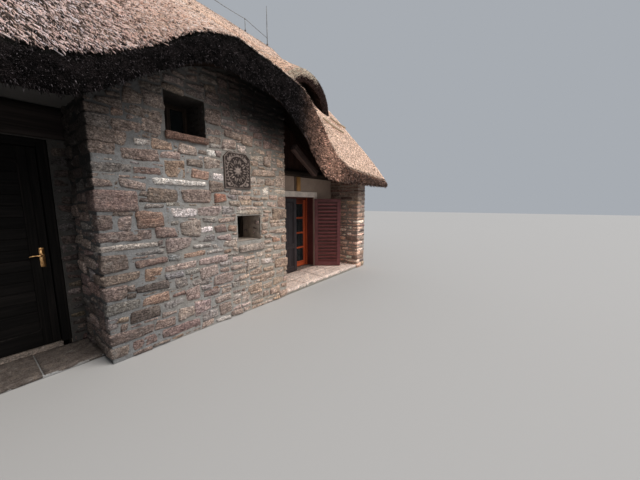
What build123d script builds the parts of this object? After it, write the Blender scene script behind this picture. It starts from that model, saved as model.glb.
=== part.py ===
from build123d import *
import math
import os

os.makedirs("parts", exist_ok=True)

# ---------------------------------------------------------------------------
# Thatched stone cottage.  Working frame, in metres: X runs along the front
# from the left corner of the projecting stone bay, Y runs into the building
# from the bay's front face, Z is up from the ground.  Each piece is moved to
# the row frame (centre of the footprint on the ground) and written in mm.
# ---------------------------------------------------------------------------

# driving dimensions (m)
PLAN_CX = 1.405          # middle of the front, and of the bay
PLAN_CY = 4.0            # ridge line
BAY_X1 = 2.81            # the bay runs from X 0 to here
BAY_T = 0.60             # thickness of the bay's front wall
RET_T = 0.45             # thickness of its return walls
REC_Y = 0.90             # face of the recessed walls on both sides of the bay
WALL_T = 0.40            # thickness of the other outer walls
IN_X0, IN_X1 = -2.88, 5.69     # inner faces of the gable walls
OUT_X0, OUT_X1 = -3.28, 6.09   # outer faces of the gable walls
BACK_IN, BACK_OUT = 7.60, 8.00
EAVE_Y = -0.50           # front edge of the thatch
EAVE_BACK = 8.50
VERGE_X0, VERGE_X1 = -3.68, 6.49
EAVE_U, EAVE_L = 2.48, 2.27    # upper and lower edge of the plain eave
# plain slope, eave to ridge: a steeper foot, then one plane
SLOPE = [(-0.50, 2.48), (0.0, 3.12), (1.2, 4.40), (4.0, 7.24)]
THATCH_V = 0.50          # vertical thickness of the thatch
GAP = 0.002              # bedding gap between a wall head and the thatch
FLOOR_Z = 0.10
UPPER_Z0, UPPER_Z1 = 2.46, 2.60

# front thatch: station X, upper edge and lower edge at the eave, underside
# at the wall face (Y 0)
STATIONS = [
    (-3.68, 2.95, 2.66, 2.80),
    (-0.55, 2.98, 2.67, 2.80),
    (-0.23, 3.01, 2.68, 2.81),
    (0.00, 3.09, 2.80, 2.88),
    (0.38, 3.31, 3.07, 3.15),
    (0.79, 3.60, 3.32, 3.40),
    (1.09, 3.79, 3.47, 3.55),
    (1.50, 3.91, 3.46, 3.71),
    (2.24, 3.82, 3.39, 3.68),
    (2.81, 3.73, 3.00, 3.60),
    (3.06, 3.56, 2.72, 3.48),
    (3.36, 3.29, 2.40, 3.20),
    (3.60, 3.03, 2.27, 2.93),
    (3.95, 2.72, 2.27, 2.60),
    (4.45, 2.54, 2.27, 2.38),
    (6.49, 2.40, 2.28, 2.35),
]


def lerp(a, b, t):
    return a + (b - a) * t


def plain(y):
    """Height of the plain main slope."""
    for p, q in zip(SLOPE, SLOPE[1:]):
        if y <= q[0]:
            return lerp(p[1], q[1], (y - p[0]) / (q[0] - p[0]))
    return SLOPE[-1][1]


def upper_plane(y):
    """The plane of the slope above Y 1.2, carried on past its ends."""
    return lerp(SLOPE[2][1], SLOPE[3][1], (y - SLOPE[2][0]) / (SLOPE[3][0] - SLOPE[2][0]))


RIDGE_Z = plain(PLAN_CY)


def station(x):
    """Upper edge, lower edge and wall-face underside at X."""
    x = min(max(x, STATIONS[0][0]), STATIONS[-1][0])
    for p, q in zip(STATIONS, STATIONS[1:]):
        if p[0] <= x <= q[0]:
            t = (x - p[0]) / (q[0] - p[0])
            return tuple(lerp(p[i], q[i], t) for i in (1, 2, 3))


def top_nodes(x):
    """The thatch's upper surface at X, as (Y, Z) points from eave to ridge."""
    u = station(x)[0]
    lift = (u - EAVE_U) if x < 3.94 else 0.0
    return [
        (EAVE_Y, u),
        (0.0, plain(0.0) + 0.80 * (u - EAVE_U)),
        (1.2, plain(1.2) + 0.50 * lift),
        (2.4, plain(2.4) + 0.20 * lift),
        (3.3, plain(3.3)),
        (PLAN_CY, RIDGE_Z),
    ]


def at(nodes, y):
    for p, q in zip(nodes, nodes[1:]):
        if p[0] <= y <= q[0]:
            return lerp(p[1], q[1], (y - p[0]) / (q[0] - p[0]))
    return nodes[-1][1]


def under_nodes(x):
    """The thatch's underside at X, as (Y, Z) points from eave to ridge."""
    u, low, b0 = station(x)
    top = top_nodes(x)
    return [
        (EAVE_Y, low),
        (0.0, b0),
        (0.6, b0 + 0.55),
        (1.3, at(top, 1.3) - THATCH_V),
        (2.4, at(top, 2.4) - THATCH_V),
        (3.3, at(top, 3.3) - THATCH_V),
        (PLAN_CY, RIDGE_Z - THATCH_V),
    ]


BACK_UNDER = [
    (PLAN_CY, RIDGE_Z - THATCH_V),
    (6.7, plain(1.3) - THATCH_V),
    (7.4, 2.90),
    (8.0, 2.35),
    (EAVE_BACK, EAVE_L),
]


def xs_between(x0, x1):
    return [x0] + [s[0] for s in STATIONS if x0 + 1e-6 < s[0] < x1 - 1e-6] + [x1]


def mm(v):
    return v * 1000.0


def wire_yz(x, pts):
    return Wire.make_polygon([Vector(mm(x), mm(y), mm(z)) for y, z in pts], close=True)


def loft_yz(x0, x1, section):
    """Ruled solid through the sections at every station from X x0 to x1."""
    return Solid.make_loft([wire_yz(x, section(x)) for x in xs_between(x0, x1)], ruled=True)


def prism_yz(x0, x1, pts):
    face = Face(wire_yz(x0, pts))
    return Solid.extrude(face, Vector(mm(x1 - x0), 0, 0))


def prism_xz(y0, y1, pts):
    face = Face(Wire.make_polygon([Vector(mm(x), mm(y0), mm(z)) for x, z in pts], close=True))
    return Solid.extrude(face, Vector(0, mm(y1 - y0), 0))


def box(x0, x1, y0, y1, z0, z1):
    return Solid.make_box(mm(x1 - x0), mm(y1 - y0), mm(z1 - z0)).moved(
        Location((mm(x0), mm(y0), mm(z0)))
    )


def rod(p, q, r):
    a, b = Vector(*map(mm, p)), Vector(*map(mm, q))
    d = b - a
    return Solid.make_cylinder(mm(r), d.length, Plane(origin=a, z_dir=d.normalized()))


def wall_top(x, y0, y1):
    """Points along the wall head at X, from Y y1 back to y0."""
    if y0 < PLAN_CY:
        nodes = under_nodes(x) + BACK_UNDER[1:]
    else:
        nodes = BACK_UNDER
    inner = [p for p in nodes if y0 + 1e-6 < p[0] < y1 - 1e-6]
    pts = [(y0, at(nodes, y0))] + inner + [(y1, at(nodes, y1))]
    return [(y, z - GAP) for y, z in reversed(pts)]


def wall(x0, x1, y0, y1, z0=0.0):
    """A wall from z0 up to the underside of the thatch."""
    return loft_yz(x0, x1, lambda x: [(y0, z0), (y1, z0)] + wall_top(x, y0, y1))


ORIGIN = Location((-mm(PLAN_CX), -mm(PLAN_CY), 0))
PIECES = {}


def put(name, *solids):
    moved = [s.moved(ORIGIN) for s in solids]
    shape = moved[0] if len(moved) == 1 else Compound(children=moved)
    PIECES[name] = shape
    export_step(shape, f"parts/{name}.step")
    return shape


def solids_of(shape):
    return list(shape.solids())


# ---------------------------------------------------------------------------
# Projecting stone bay
# ---------------------------------------------------------------------------
UW = (0.75, 1.28, 2.69, 3.17)     # upper window opening: X0, X1, Z0, Z1
LW = (1.74, 2.20, 1.20, 1.61)     # lower window opening
PLAQUE = (1.53, 2.00, 2.03, 2.57)
WIN_Y0, WIN_Y1 = 0.47, 0.53       # window frames sit deep in the wall

front = wall(0.0, BAY_X1, 0.0, BAY_T)
for x0, x1, z0, z1 in (UW, LW):
    front = front - box(x0, x1, -0.1, BAY_T + 0.1, z0, z1)
# beds for the two projecting sills
front = front - box(UW[0] - 0.01, UW[1] + 0.01, -0.1, 0.25, UW[2] - 0.09, UW[2] + 0.001)
front = front - box(LW[0] + 0.01, LW[1] + 0.06, -0.1, 0.30, LW[2] - 0.18, LW[2] + 0.001)
put("bay_front_wall", *solids_of(front))
put("bay_left_return", wall(0.0, RET_T, BAY_T, REC_Y))
put("bay_right_return", wall(BAY_X1 - RET_T, BAY_X1, BAY_T, REC_Y))
put(
    "bay_window_sills",
    box(UW[0] - 0.01, UW[1] + 0.01, -0.06, 0.25, UW[2] - 0.09, UW[2]),
    prism_yz(
        LW[0] + 0.01,
        LW[1] + 0.06,
        [(-0.06, 1.02), (0.30, 1.02), (0.30, 1.20), (0.05, 1.17), (-0.06, 1.10)],
    ),
)

# cast relief plaque with clipped upper corners and a raised border
px0, px1, pz0, pz1 = PLAQUE
clip = 0.075
plaque_outline = [
    (px0, pz0), (px1, pz0), (px1, pz1 - clip), (px1 - clip, pz1),
    (px0 + clip, pz1), (px0, pz1 - clip),
]
inset = 0.035
plaque_inner = [
    (px0 + inset, pz0 + inset), (px1 - inset, pz0 + inset),
    (px1 - inset, pz1 - clip - 0.015), (px1 - clip - 0.015, pz1 - inset),
    (px0 + clip + 0.015, pz1 - inset), (px0 + inset, pz1 - clip - 0.015),
]
plaque = prism_xz(-0.04, 0.0, plaque_outline) - prism_xz(-0.05, -0.025, plaque_inner)
put("wall_plaque", *solids_of(plaque))


def window(x0, x1, z0, z1, y0, y1, bar=0.045, mullion=True):
    """Frame with two panes, and its sheet of glass, in the plane of X and Z."""
    frame = box(x0 + 0.002, x1 - 0.002, y0, y1, z0 + 0.002, z1 - 0.002)
    xm = (x0 + x1) / 2
    if mullion:
        holes = [(x0 + bar, xm - 0.02), (xm + 0.02, x1 - bar)]
    else:
        holes = [(x0 + bar, x1 - bar)]
    ym = (y0 + y1) / 2
    panes = []
    for a, b in holes:
        frame = frame - box(a, b, y0 - 0.01, y1 + 0.01, z0 + bar, z1 - bar)
        panes.append(box(a + 0.001, b - 0.001, ym - 0.004, ym + 0.004, z0 + bar + 0.001, z1 - bar - 0.001))
    return solids_of(frame), panes


f1, g1 = window(*UW, WIN_Y0, WIN_Y1)
f2, g2 = window(*LW, WIN_Y0, WIN_Y1)
put("bay_window_frames", *(f1 + f2))
put("bay_window_glass", *(g1 + g2))

# ---------------------------------------------------------------------------
# Left recess with the boarded entrance door
# ---------------------------------------------------------------------------
ED_X0, ED_X1, ED_Z1 = -1.27, -0.17, 2.53      # opening in the wall
JAMB = 0.09
put("entry_wall_left", wall(IN_X0, ED_X0, REC_Y, REC_Y + WALL_T))
put("entry_wall_right", wall(ED_X1, RET_T, REC_Y, REC_Y + WALL_T))
put("entry_wall_over_door", wall(ED_X0, ED_X1, REC_Y, REC_Y + WALL_T, ED_Z1))
put("entry_lintel_beam", box(IN_X0, 0.0, REC_Y - 0.08, REC_Y, 2.54, 2.88))
put("entry_ceiling", box(IN_X0, 0.0, 0.25, REC_Y, 2.90, 2.95))
put("entry_floor", box(IN_X0, 0.0, 0.28, REC_Y, 0.0, 0.05))
EF_Y0, EF_Y1 = 0.87, 0.97
frame = box(ED_X0, ED_X1, REC_Y, EF_Y1, FLOOR_Z, ED_Z1) - box(
    ED_X0 + JAMB, ED_X1 - JAMB, 0.8, 1.1, FLOOR_Z - 0.01, ED_Z1 - JAMB
)
put("entry_door_frame", *solids_of(frame))
# door leaf: hinged on its left side, opens into the house
E_AX, E_AY = ED_X0 + JAMB, 0.975
EL_X0, EL_X1 = E_AX + 0.005, ED_X1 - JAMB - 0.008
EL_Y0, EL_Y1 = 0.925, 0.970
EL_Z0, EL_Z1 = FLOOR_Z + 0.012, ED_Z1 - JAMB - 0.008
leaf = box(EL_X0, EL_X1, EL_Y0, EL_Y1, EL_Z0, EL_Z1) - box(
    EL_X0 + 0.15, EL_X1 - 0.15, EL_Y0 - 0.01, EL_Y0 + 0.012, EL_Z0 + 0.18, 2.27
)
put("entry_door_leaf", *solids_of(leaf))
HX = -0.33
handle = (
    box(HX - 0.022, HX + 0.022, EL_Y0 - 0.006, EL_Y0, 1.06, 1.29)
    + rod((HX, EL_Y0 - 0.055, 1.20), (HX, EL_Y0 - 0.003, 1.20), 0.009)
    + rod((HX + 0.012, EL_Y0 - 0.05, 1.20), (HX - 0.11, EL_Y0 - 0.05, 1.20), 0.009)
)
put("entry_door_handle", *solids_of(handle))

# ---------------------------------------------------------------------------
# Right recess (porch): rendered wall, outer shutter leaves, glazed doors
# ---------------------------------------------------------------------------
PD_X0, PD_X1, PD_Z1 = 3.43, 4.87, 1.97        # opening in the wall
put("porch_wall_left", box(BAY_X1 - RET_T, PD_X0, REC_Y, REC_Y + WALL_T, 0.0, UPPER_Z0))
put("porch_wall_right", box(PD_X1, IN_X1, REC_Y, REC_Y + WALL_T, 0.0, UPPER_Z0))
over = box(PD_X0, PD_X1, REC_Y, REC_Y + WALL_T, PD_Z1, UPPER_Z0) - box(
    4.09, 4.17, REC_Y - 0.01, REC_Y + 0.12, 2.12, UPPER_Z0 + 0.01
)
put("porch_wall_over_door", *solids_of(over))
put("porch_wall_plate", box(BAY_X1, IN_X1, REC_Y - 0.04, REC_Y + WALL_T, UPPER_Z0, UPPER_Z1))
put("porch_upper_wall", wall(BAY_X1 - RET_T, IN_X1, REC_Y + 0.10, REC_Y + WALL_T, UPPER_Z1))
put(
    "porch_timbers",
    box(4.175, 4.305, REC_Y - 0.03, REC_Y, 2.115, UPPER_Z0),
    prism_xz(-0.06, 0.06, [(3.04, 2.82), (3.74, 2.38), (3.81, 2.49), (3.11, 2.93)]),
)
put("porch_floor", box(BAY_X1, IN_X1, 0.0, REC_Y, 0.0, FLOOR_Z))
put(
    "door_thresholds",
    box(ED_X0, ED_X1, REC_Y, REC_Y + WALL_T, 0.0, FLOOR_Z),
    box(PD_X0, PD_X1, REC_Y, REC_Y + WALL_T, 0.0, FLOOR_Z),
)
casing = box(PD_X0 - 0.12, PD_X1 + 0.12, REC_Y - 0.02, REC_Y, FLOOR_Z, PD_Z1 + 0.14) - box(
    PD_X0, PD_X1, REC_Y - 0.1, REC_Y + 0.1, FLOOR_Z - 0.01, PD_Z1
)
put("porch_door_casing", *solids_of(casing))

# outer leaves, hinged just in front of the casing, opening outwards
S_AY = 0.875
SL_AX, SR_AX = PD_X0 + 0.005, PD_X1 - 0.005
S_W = 0.709
S_T = 0.040
S_Z0, S_Z1 = FLOOR_Z + 0.015, 1.93
SHUTTER_REST = 127.0


def shutter(ax, side):
    """Leaf in its closed place; side is the way it runs from its hinge."""
    a, b = sorted((ax + side * 0.005, ax + side * S_W))
    leaf = box(a, b, S_AY + 0.005, S_AY + 0.005 + S_T, S_Z0, S_Z1)
    inner = (a + 0.09, b - 0.09)
    z0, z1 = S_Z0 + 0.11, S_Z1 - 0.09
    leaf = leaf - box(*inner, S_AY - 0.01, S_AY + 0.015, z0, z1)
    leaf = leaf - box(*inner, S_AY + 0.035, S_AY + 0.06, z0, z1)
    return leaf


put("porch_shutter_left", *solids_of(shutter(SL_AX, 1)))
right_leaf = shutter(SR_AX, -1)
hinge_line = Axis((mm(SR_AX), mm(S_AY), 0), (0, 0, 1))
put("porch_shutter_right", *[s.rotate(hinge_line, SHUTTER_REST) for s in solids_of(right_leaf)])

# inner glazed pair, opening into the house
GJ = 0.06
G_Y0, G_Y1 = 1.14, 1.185
G_AY = 1.19
gframe = box(PD_X0, PD_X1, G_Y0 - 0.02, G_Y1, FLOOR_Z, PD_Z1) - box(
    PD_X0 + GJ, PD_X1 - GJ, 1.0, 1.3, FLOOR_Z - 0.01, PD_Z1 - GJ
)
put("glazed_door_frame", *solids_of(gframe))
GL_AX, GR_AX = PD_X0 + GJ, PD_X1 - GJ
G_W = (GR_AX - GL_AX) / 2 - 0.006
G_Z0, G_Z1 = FLOOR_Z + 0.012, PD_Z1 - GJ - 0.008


def glazed(ax, side):
    a, b = sorted((ax + side * 0.005, ax + side * G_W))
    leaf = box(a, b, G_Y0, G_Y1, G_Z0, G_Z1)
    px = (a + 0.085, b - 0.085)
    z0, z1 = G_Z0 + 0.13, G_Z1 - 0.09
    step = (z1 - z0 + 0.03) / 4
    glass = []
    for i in range(4):
        c0 = z0 + i * step
        c1 = c0 + step - 0.03
        leaf = leaf - box(*px, G_Y0 - 0.01, G_Y1 + 0.01, c0, c1)
        ym = (G_Y0 + G_Y1) / 2
        glass.append(box(px[0] + 0.001, px[1] - 0.001, ym - 0.003, ym + 0.003, c0 + 0.001, c1 - 0.001))
    return solids_of(leaf), glass


for name, ax, side in (("left", GL_AX, 1), ("right", GR_AX, -1)):
    leaf, glass = glazed(ax, side)
    put(f"glazed_leaf_{name}", *leaf)
    put(f"glazed_panes_{name}", *glass)

# ---------------------------------------------------------------------------
# Gable walls, rear wall and floors
# ---------------------------------------------------------------------------
GW = (3.72, 4.28)                 # gable windows: Y0, Y1
GW_LOW = (1.15, 1.75)
GW_HIGH = (3.30, 3.90)
RW_XS = (-1.9, 0.35, 2.45, 4.55)  # rear windows: middle X
RW_W, RW_Z0, RW_Z1 = 0.60, 1.05, 1.70

for name, x0, x1 in (("gable_wall_left", OUT_X0, IN_X0), ("gable_wall_right", IN_X1, OUT_X1)):
    g = wall(x0, x1, 0.0, BACK_OUT)
    for z0, z1 in (GW_LOW, GW_HIGH):
        g = g - box(x0 - 0.1, x1 + 0.1, GW[0], GW[1], z0, z1)
    put(name, *solids_of(g))

rear = wall(IN_X0, IN_X1, BACK_IN, BACK_OUT)
for xc in RW_XS:
    rear = rear - box(xc - RW_W / 2, xc + RW_W / 2, BACK_IN - 0.1, BACK_OUT + 0.1, RW_Z0, RW_Z1)
put("rear_wall", *solids_of(rear))

frames, glass, sills = [], [], []
for xc in RW_XS:
    f, g = window(xc - RW_W / 2, xc + RW_W / 2, RW_Z0, RW_Z1, 7.72, 7.78)
    frames += f
    glass += g
    sills.append(box(xc - RW_W / 2 - 0.04, xc + RW_W / 2 + 0.04, BACK_OUT, BACK_OUT + 0.06, RW_Z0 - 0.09, RW_Z0))
# gable windows are the same frames turned by a quarter
for x_out, y_dir in ((OUT_X0, -1), (OUT_X1, 1)):
    for z0, z1 in (GW_LOW, GW_HIGH):
        half = (GW[1] - GW[0]) / 2
        f, g = window(-half, half, z0, z1, -0.03, 0.03)
        xm = x_out - y_dir * 0.25
        turn = Location((mm(xm), mm(4.0), 0), (0, 0, 90))
        frames += [s.moved(turn) for s in f]
        glass += [s.moved(turn) for s in g]
        a, b = sorted((x_out, x_out + y_dir * 0.06))
        sills.append(box(a, b, GW[0] - 0.04, GW[1] + 0.04, z0 - 0.09, z0))
put("side_window_frames", *frames)
put("side_window_glass", *glass)
put("side_window_sills", *sills)

ground = box(IN_X0, IN_X1, REC_Y + WALL_T, BACK_IN, 0.0, FLOOR_Z)
ground = ground + box(RET_T, BAY_X1 - RET_T, BAY_T, REC_Y + WALL_T, 0.0, FLOOR_Z)
put("ground_floor", *solids_of(ground))
upper = box(IN_X0, IN_X1, REC_Y + WALL_T, BACK_IN, UPPER_Z0, UPPER_Z1)
upper = upper + box(RET_T, BAY_X1 - RET_T, BAY_T, REC_Y + WALL_T, UPPER_Z0, UPPER_Z1)
put("upper_floor", *solids_of(upper))

# ---------------------------------------------------------------------------
# Thatch
# ---------------------------------------------------------------------------


def front_section(x):
    return top_nodes(x) + list(reversed(under_nodes(x)))


DM_X = 5.0            # middle of the front dormer
DM_Y = 1.20           # plane of its rim
DM_BACK = 3.25        # where its crest dies into the slope
DM_HW, DM_TOP = 0.95, 5.27
DM_IN_HW, DM_IN_TOP = 0.69, 4.97
DM_HOLE = (4.62, 5.38, 1.90, 2.85)


def arch(y, xc, hw, z_base, z_top, n=10, drop=1.2):
    """Arched outline in the plane Y, from foot to foot, closed below."""
    pts = [(xc + hw, z_base - drop)]
    for i in range(n + 1):
        a = math.pi * i / n
        pts.append((xc + hw * math.cos(a), z_base + (z_top - z_base) * math.sin(a) ** 0.9))
    pts.append((xc - hw, z_base - drop))
    return Wire.make_polygon([Vector(mm(x), mm(y), mm(z)) for x, z in pts], close=True)


def roof_wedge(x0, x1, y0, y1, lift):
    """Everything below the plain slope, lifted by a little."""
    return prism_yz(
        x0, x1,
        [(y0, upper_plane(y0) + lift), (y1, upper_plane(y1) + lift), (y1, 0.0), (y0, 0.0)],
    )


def dormer(xc):
    outer = Solid.make_loft(
        [
            arch(DM_Y, xc, DM_HW, 4.35, DM_TOP),
            arch(DM_BACK, xc, 0.42, plain(DM_BACK) - 0.45, plain(DM_BACK) + 0.03),
        ],
        ruled=True,
    )
    inner = Solid.make_loft(
        [
            arch(DM_Y - 0.05, xc, DM_IN_HW, 4.30, DM_IN_TOP - 0.02),
            arch(2.85, xc, 0.36, 5.55, 6.10),
        ],
        ruled=True,
    )
    hood = outer - inner - roof_wedge(xc - 2, xc + 2, 0.0, 4.0, GAP)
    # window: arched plate with two panes, set back in the hood
    y0, y1 = 1.60, 1.66
    t = (y0 - (DM_Y - 0.05)) / (2.85 - (DM_Y - 0.05))
    hw = lerp(DM_IN_HW, 0.36, t) - 0.04
    zb = lerp(4.30, 5.55, t)
    zt = lerp(DM_IN_TOP - 0.02, 6.10, t) - 0.04
    base = plain(y1) + GAP

    def arch_pts(h, b, top, n=10):
        return [(xc + h, b - 1.0)] + [
            (xc + h * math.cos(math.pi * i / n), b + (top - b) * math.sin(math.pi * i / n) ** 0.9)
            for i in range(n + 1)
        ] + [(xc - h, b - 1.0)]

    plate = prism_xz(y0, y1, arch_pts(hw, zb, zt)) - box(xc - 2, xc + 2, 1.0, 2.5, 2.0, base)
    hole = prism_xz(y0 - 0.1, y1 + 0.1, arch_pts(hw - 0.05, zb, zt - 0.05)) - box(
        xc - 2, xc + 2, 1.0, 2.5, 2.0, base + 0.05
    )
    hole = hole - box(xc - 0.02, xc + 0.02, 1.0, 2.5, 2.0, 8.0)
    frame = plate - hole
    ym = (y0 + y1) / 2
    glass = prism_xz(ym - 0.004, ym + 0.004, arch_pts(hw - 0.052, zb, zt - 0.052)) - box(
        xc - 2, xc + 2, 1.0, 2.5, 2.0, base + 0.052
    )
    glass = glass - box(xc - 0.022, xc + 0.022, 1.0, 2.5, 2.0, 8.0)
    return solids_of(hood), solids_of(frame), solids_of(glass)


hood, dframe, dglass = dormer(DM_X)
put("dormer_hood", *hood)

put("thatch_front_left", loft_yz(VERGE_X0, 0.0, front_section))
put("thatch_eyebrow_left", loft_yz(0.0, 1.5, front_section))
put("thatch_eyebrow_right", loft_yz(1.5, BAY_X1, front_section))
put("thatch_eyebrow_end", loft_yz(BAY_X1, 3.95, front_section))
right = loft_yz(3.95, VERGE_X1, front_section) - box(*DM_HOLE, 3.0, 8.0)
put("thatch_front_right", *solids_of(right))

back_section = [(8.0 - y, z) for y, z in reversed(SLOPE)] + list(reversed(BACK_UNDER))
RD_X = 1.405          # the rear slope repeats the dormer, in the middle
back_hole = box(RD_X - 0.38, RD_X + 0.38, 8.0 - 2.85, 8.0 - 1.90, 3.0, 8.0)
put("thatch_back", *solids_of(prism_yz(VERGE_X0, VERGE_X1, back_section) - back_hole))

hood, rframe, rglass = dormer(RD_X)
turn_back = Plane(origin=(0, mm(PLAN_CY), 0), z_dir=(0, 1, 0))
put("rear_dormer_hood", *[s.mirror(turn_back) for s in hood])
put("dormer_window_frames", *(dframe + [s.mirror(turn_back) for s in rframe]))
put("dormer_glass", *(dglass + [s.mirror(turn_back) for s in rglass]))

# ridge capping over both slopes
RC = 0.60
put("thatch_ridge_cap", prism_yz(
    VERGE_X0, VERGE_X1,
    [
        (PLAN_CY - RC, plain(PLAN_CY - RC) + GAP), (PLAN_CY, RIDGE_Z + GAP),
        (PLAN_CY + RC, plain(PLAN_CY - RC) + GAP), (PLAN_CY + RC, plain(PLAN_CY - RC) + 0.09),
        (PLAN_CY + 0.12, RIDGE_Z + 0.06), (PLAN_CY, RIDGE_Z + 0.12),
        (PLAN_CY - 0.12, RIDGE_Z + 0.06), (PLAN_CY - RC, plain(PLAN_CY - RC) + 0.09),
    ],
))

# two poles pinned on the thatch below the dormer
slope = math.atan((SLOPE[2][1] - SLOPE[1][1]) / (SLOPE[2][0] - SLOPE[1][0]))
ny, nz = -math.sin(slope), math.cos(slope)


def on_slope(x, y, h):
    return (x, y + ny * h, plain(y) + nz * h)


put(
    "thatch_poles",
    rod(on_slope(5.20, 0.86, 0.045), on_slope(5.80, 0.58, 0.045), 0.026),
    rod(on_slope(5.84, 1.06, 0.045), on_slope(6.32, 0.84, 0.045), 0.026),
)

# lightning conductor: rod at the right end of the ridge, wire on standoffs
LC_Z0 = RIDGE_Z + 0.12
WIRE_Z = LC_Z0 + 0.34
conductor = rod((6.25, 4.0, LC_Z0), (6.25, 4.0, 8.58), 0.014)
conductor = conductor + rod((-3.55, 4.0, WIRE_Z), (5.30, 4.0, WIRE_Z), 0.008)
conductor = conductor + rod((5.30, 4.0, WIRE_Z), (6.25, 4.0, WIRE_Z - 0.14), 0.008)
for i in range(5):
    xs = -3.50 + i * 2.2
    conductor = conductor + rod((xs, 4.0, LC_Z0), (xs, 4.0, WIRE_Z + 0.006), 0.010)
put("lightning_conductor", *solids_of(conductor))

total = sum(s.volume for p in PIECES.values() for s in p.solids()) / 1e9
print("nodes", len(PIECES), "solid volume m3", round(total, 2))
for name, p in PIECES.items():
    print(name, round(sum(s.volume for s in p.solids()) / 1e9, 4))
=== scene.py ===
import bpy
import json
import math
import numpy as np
from mathutils import Matrix, Vector


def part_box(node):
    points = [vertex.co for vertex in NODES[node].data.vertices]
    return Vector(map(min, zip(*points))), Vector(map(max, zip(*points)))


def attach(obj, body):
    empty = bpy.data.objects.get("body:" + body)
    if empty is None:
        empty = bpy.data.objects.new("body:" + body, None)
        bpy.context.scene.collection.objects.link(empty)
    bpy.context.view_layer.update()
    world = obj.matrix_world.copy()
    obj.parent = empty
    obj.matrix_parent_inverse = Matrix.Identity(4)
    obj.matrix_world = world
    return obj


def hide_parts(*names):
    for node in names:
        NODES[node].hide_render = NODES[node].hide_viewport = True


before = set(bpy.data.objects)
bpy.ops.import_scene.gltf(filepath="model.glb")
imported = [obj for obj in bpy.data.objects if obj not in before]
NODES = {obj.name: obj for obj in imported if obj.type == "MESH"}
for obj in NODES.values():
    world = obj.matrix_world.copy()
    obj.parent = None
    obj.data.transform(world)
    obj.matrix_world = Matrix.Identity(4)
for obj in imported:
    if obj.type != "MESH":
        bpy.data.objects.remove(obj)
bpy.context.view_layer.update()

# Shapes are worked out in facade coordinates, in metres: X to the right along
# the front from the bay's left corner, Y into the building from the bay's
# front face, Z up.  ROW takes them to the row frame.
ROW = np.array([-1.405, -4.0, 0.0])


# ---------------------------------------------------------------------------
# numbers and meshes
# ---------------------------------------------------------------------------
def rng(seed):
    return np.random.default_rng(seed)


def _hash(ix, iy, iz, seed):
    n = (ix * 374761393 + iy * 668265263 + iz * 2147483647 + seed * 1274126177) & 0xFFFFFFFF
    n = ((n ^ (n >> 13)) * 1274126177) & 0xFFFFFFFF
    n = ((n ^ (n >> 16)) * 2246822519) & 0xFFFFFFFF
    return ((n ^ (n >> 15)) & 0xFFFFFF) / float(0xFFFFFF) * 2 - 1


def noise3(p, seed=0):
    """Smooth value noise in -1..1 at points p, shape (..., 3)."""
    p = np.asarray(p, float)
    i = np.floor(p).astype(np.int64)
    f = p - i
    f = f * f * (3 - 2 * f)
    out = 0
    for dx in (0, 1):
        wx = f[..., 0] if dx else 1 - f[..., 0]
        for dy in (0, 1):
            wy = f[..., 1] if dy else 1 - f[..., 1]
            for dz in (0, 1):
                wz = f[..., 2] if dz else 1 - f[..., 2]
                out = out + wx * wy * wz * _hash(i[..., 0] + dx + 4096, i[..., 1] + dy + 4096, i[..., 2] + dz + 4096, seed)
    return out


def fbm(p, seed=0, octaves=3, gain=0.5):
    p = np.asarray(p, float)
    out, amp, tot = 0, 1.0, 0.0
    for k in range(octaves):
        out = out + amp * noise3(p * (2.03 ** k), seed + 17 * k)
        tot += amp
        amp *= gain
    return out / tot


def smoothstep(e0, e1, x):
    t = np.clip((x - e0) / (e1 - e0), 0, 1)
    return t * t * (3 - 2 * t)


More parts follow.
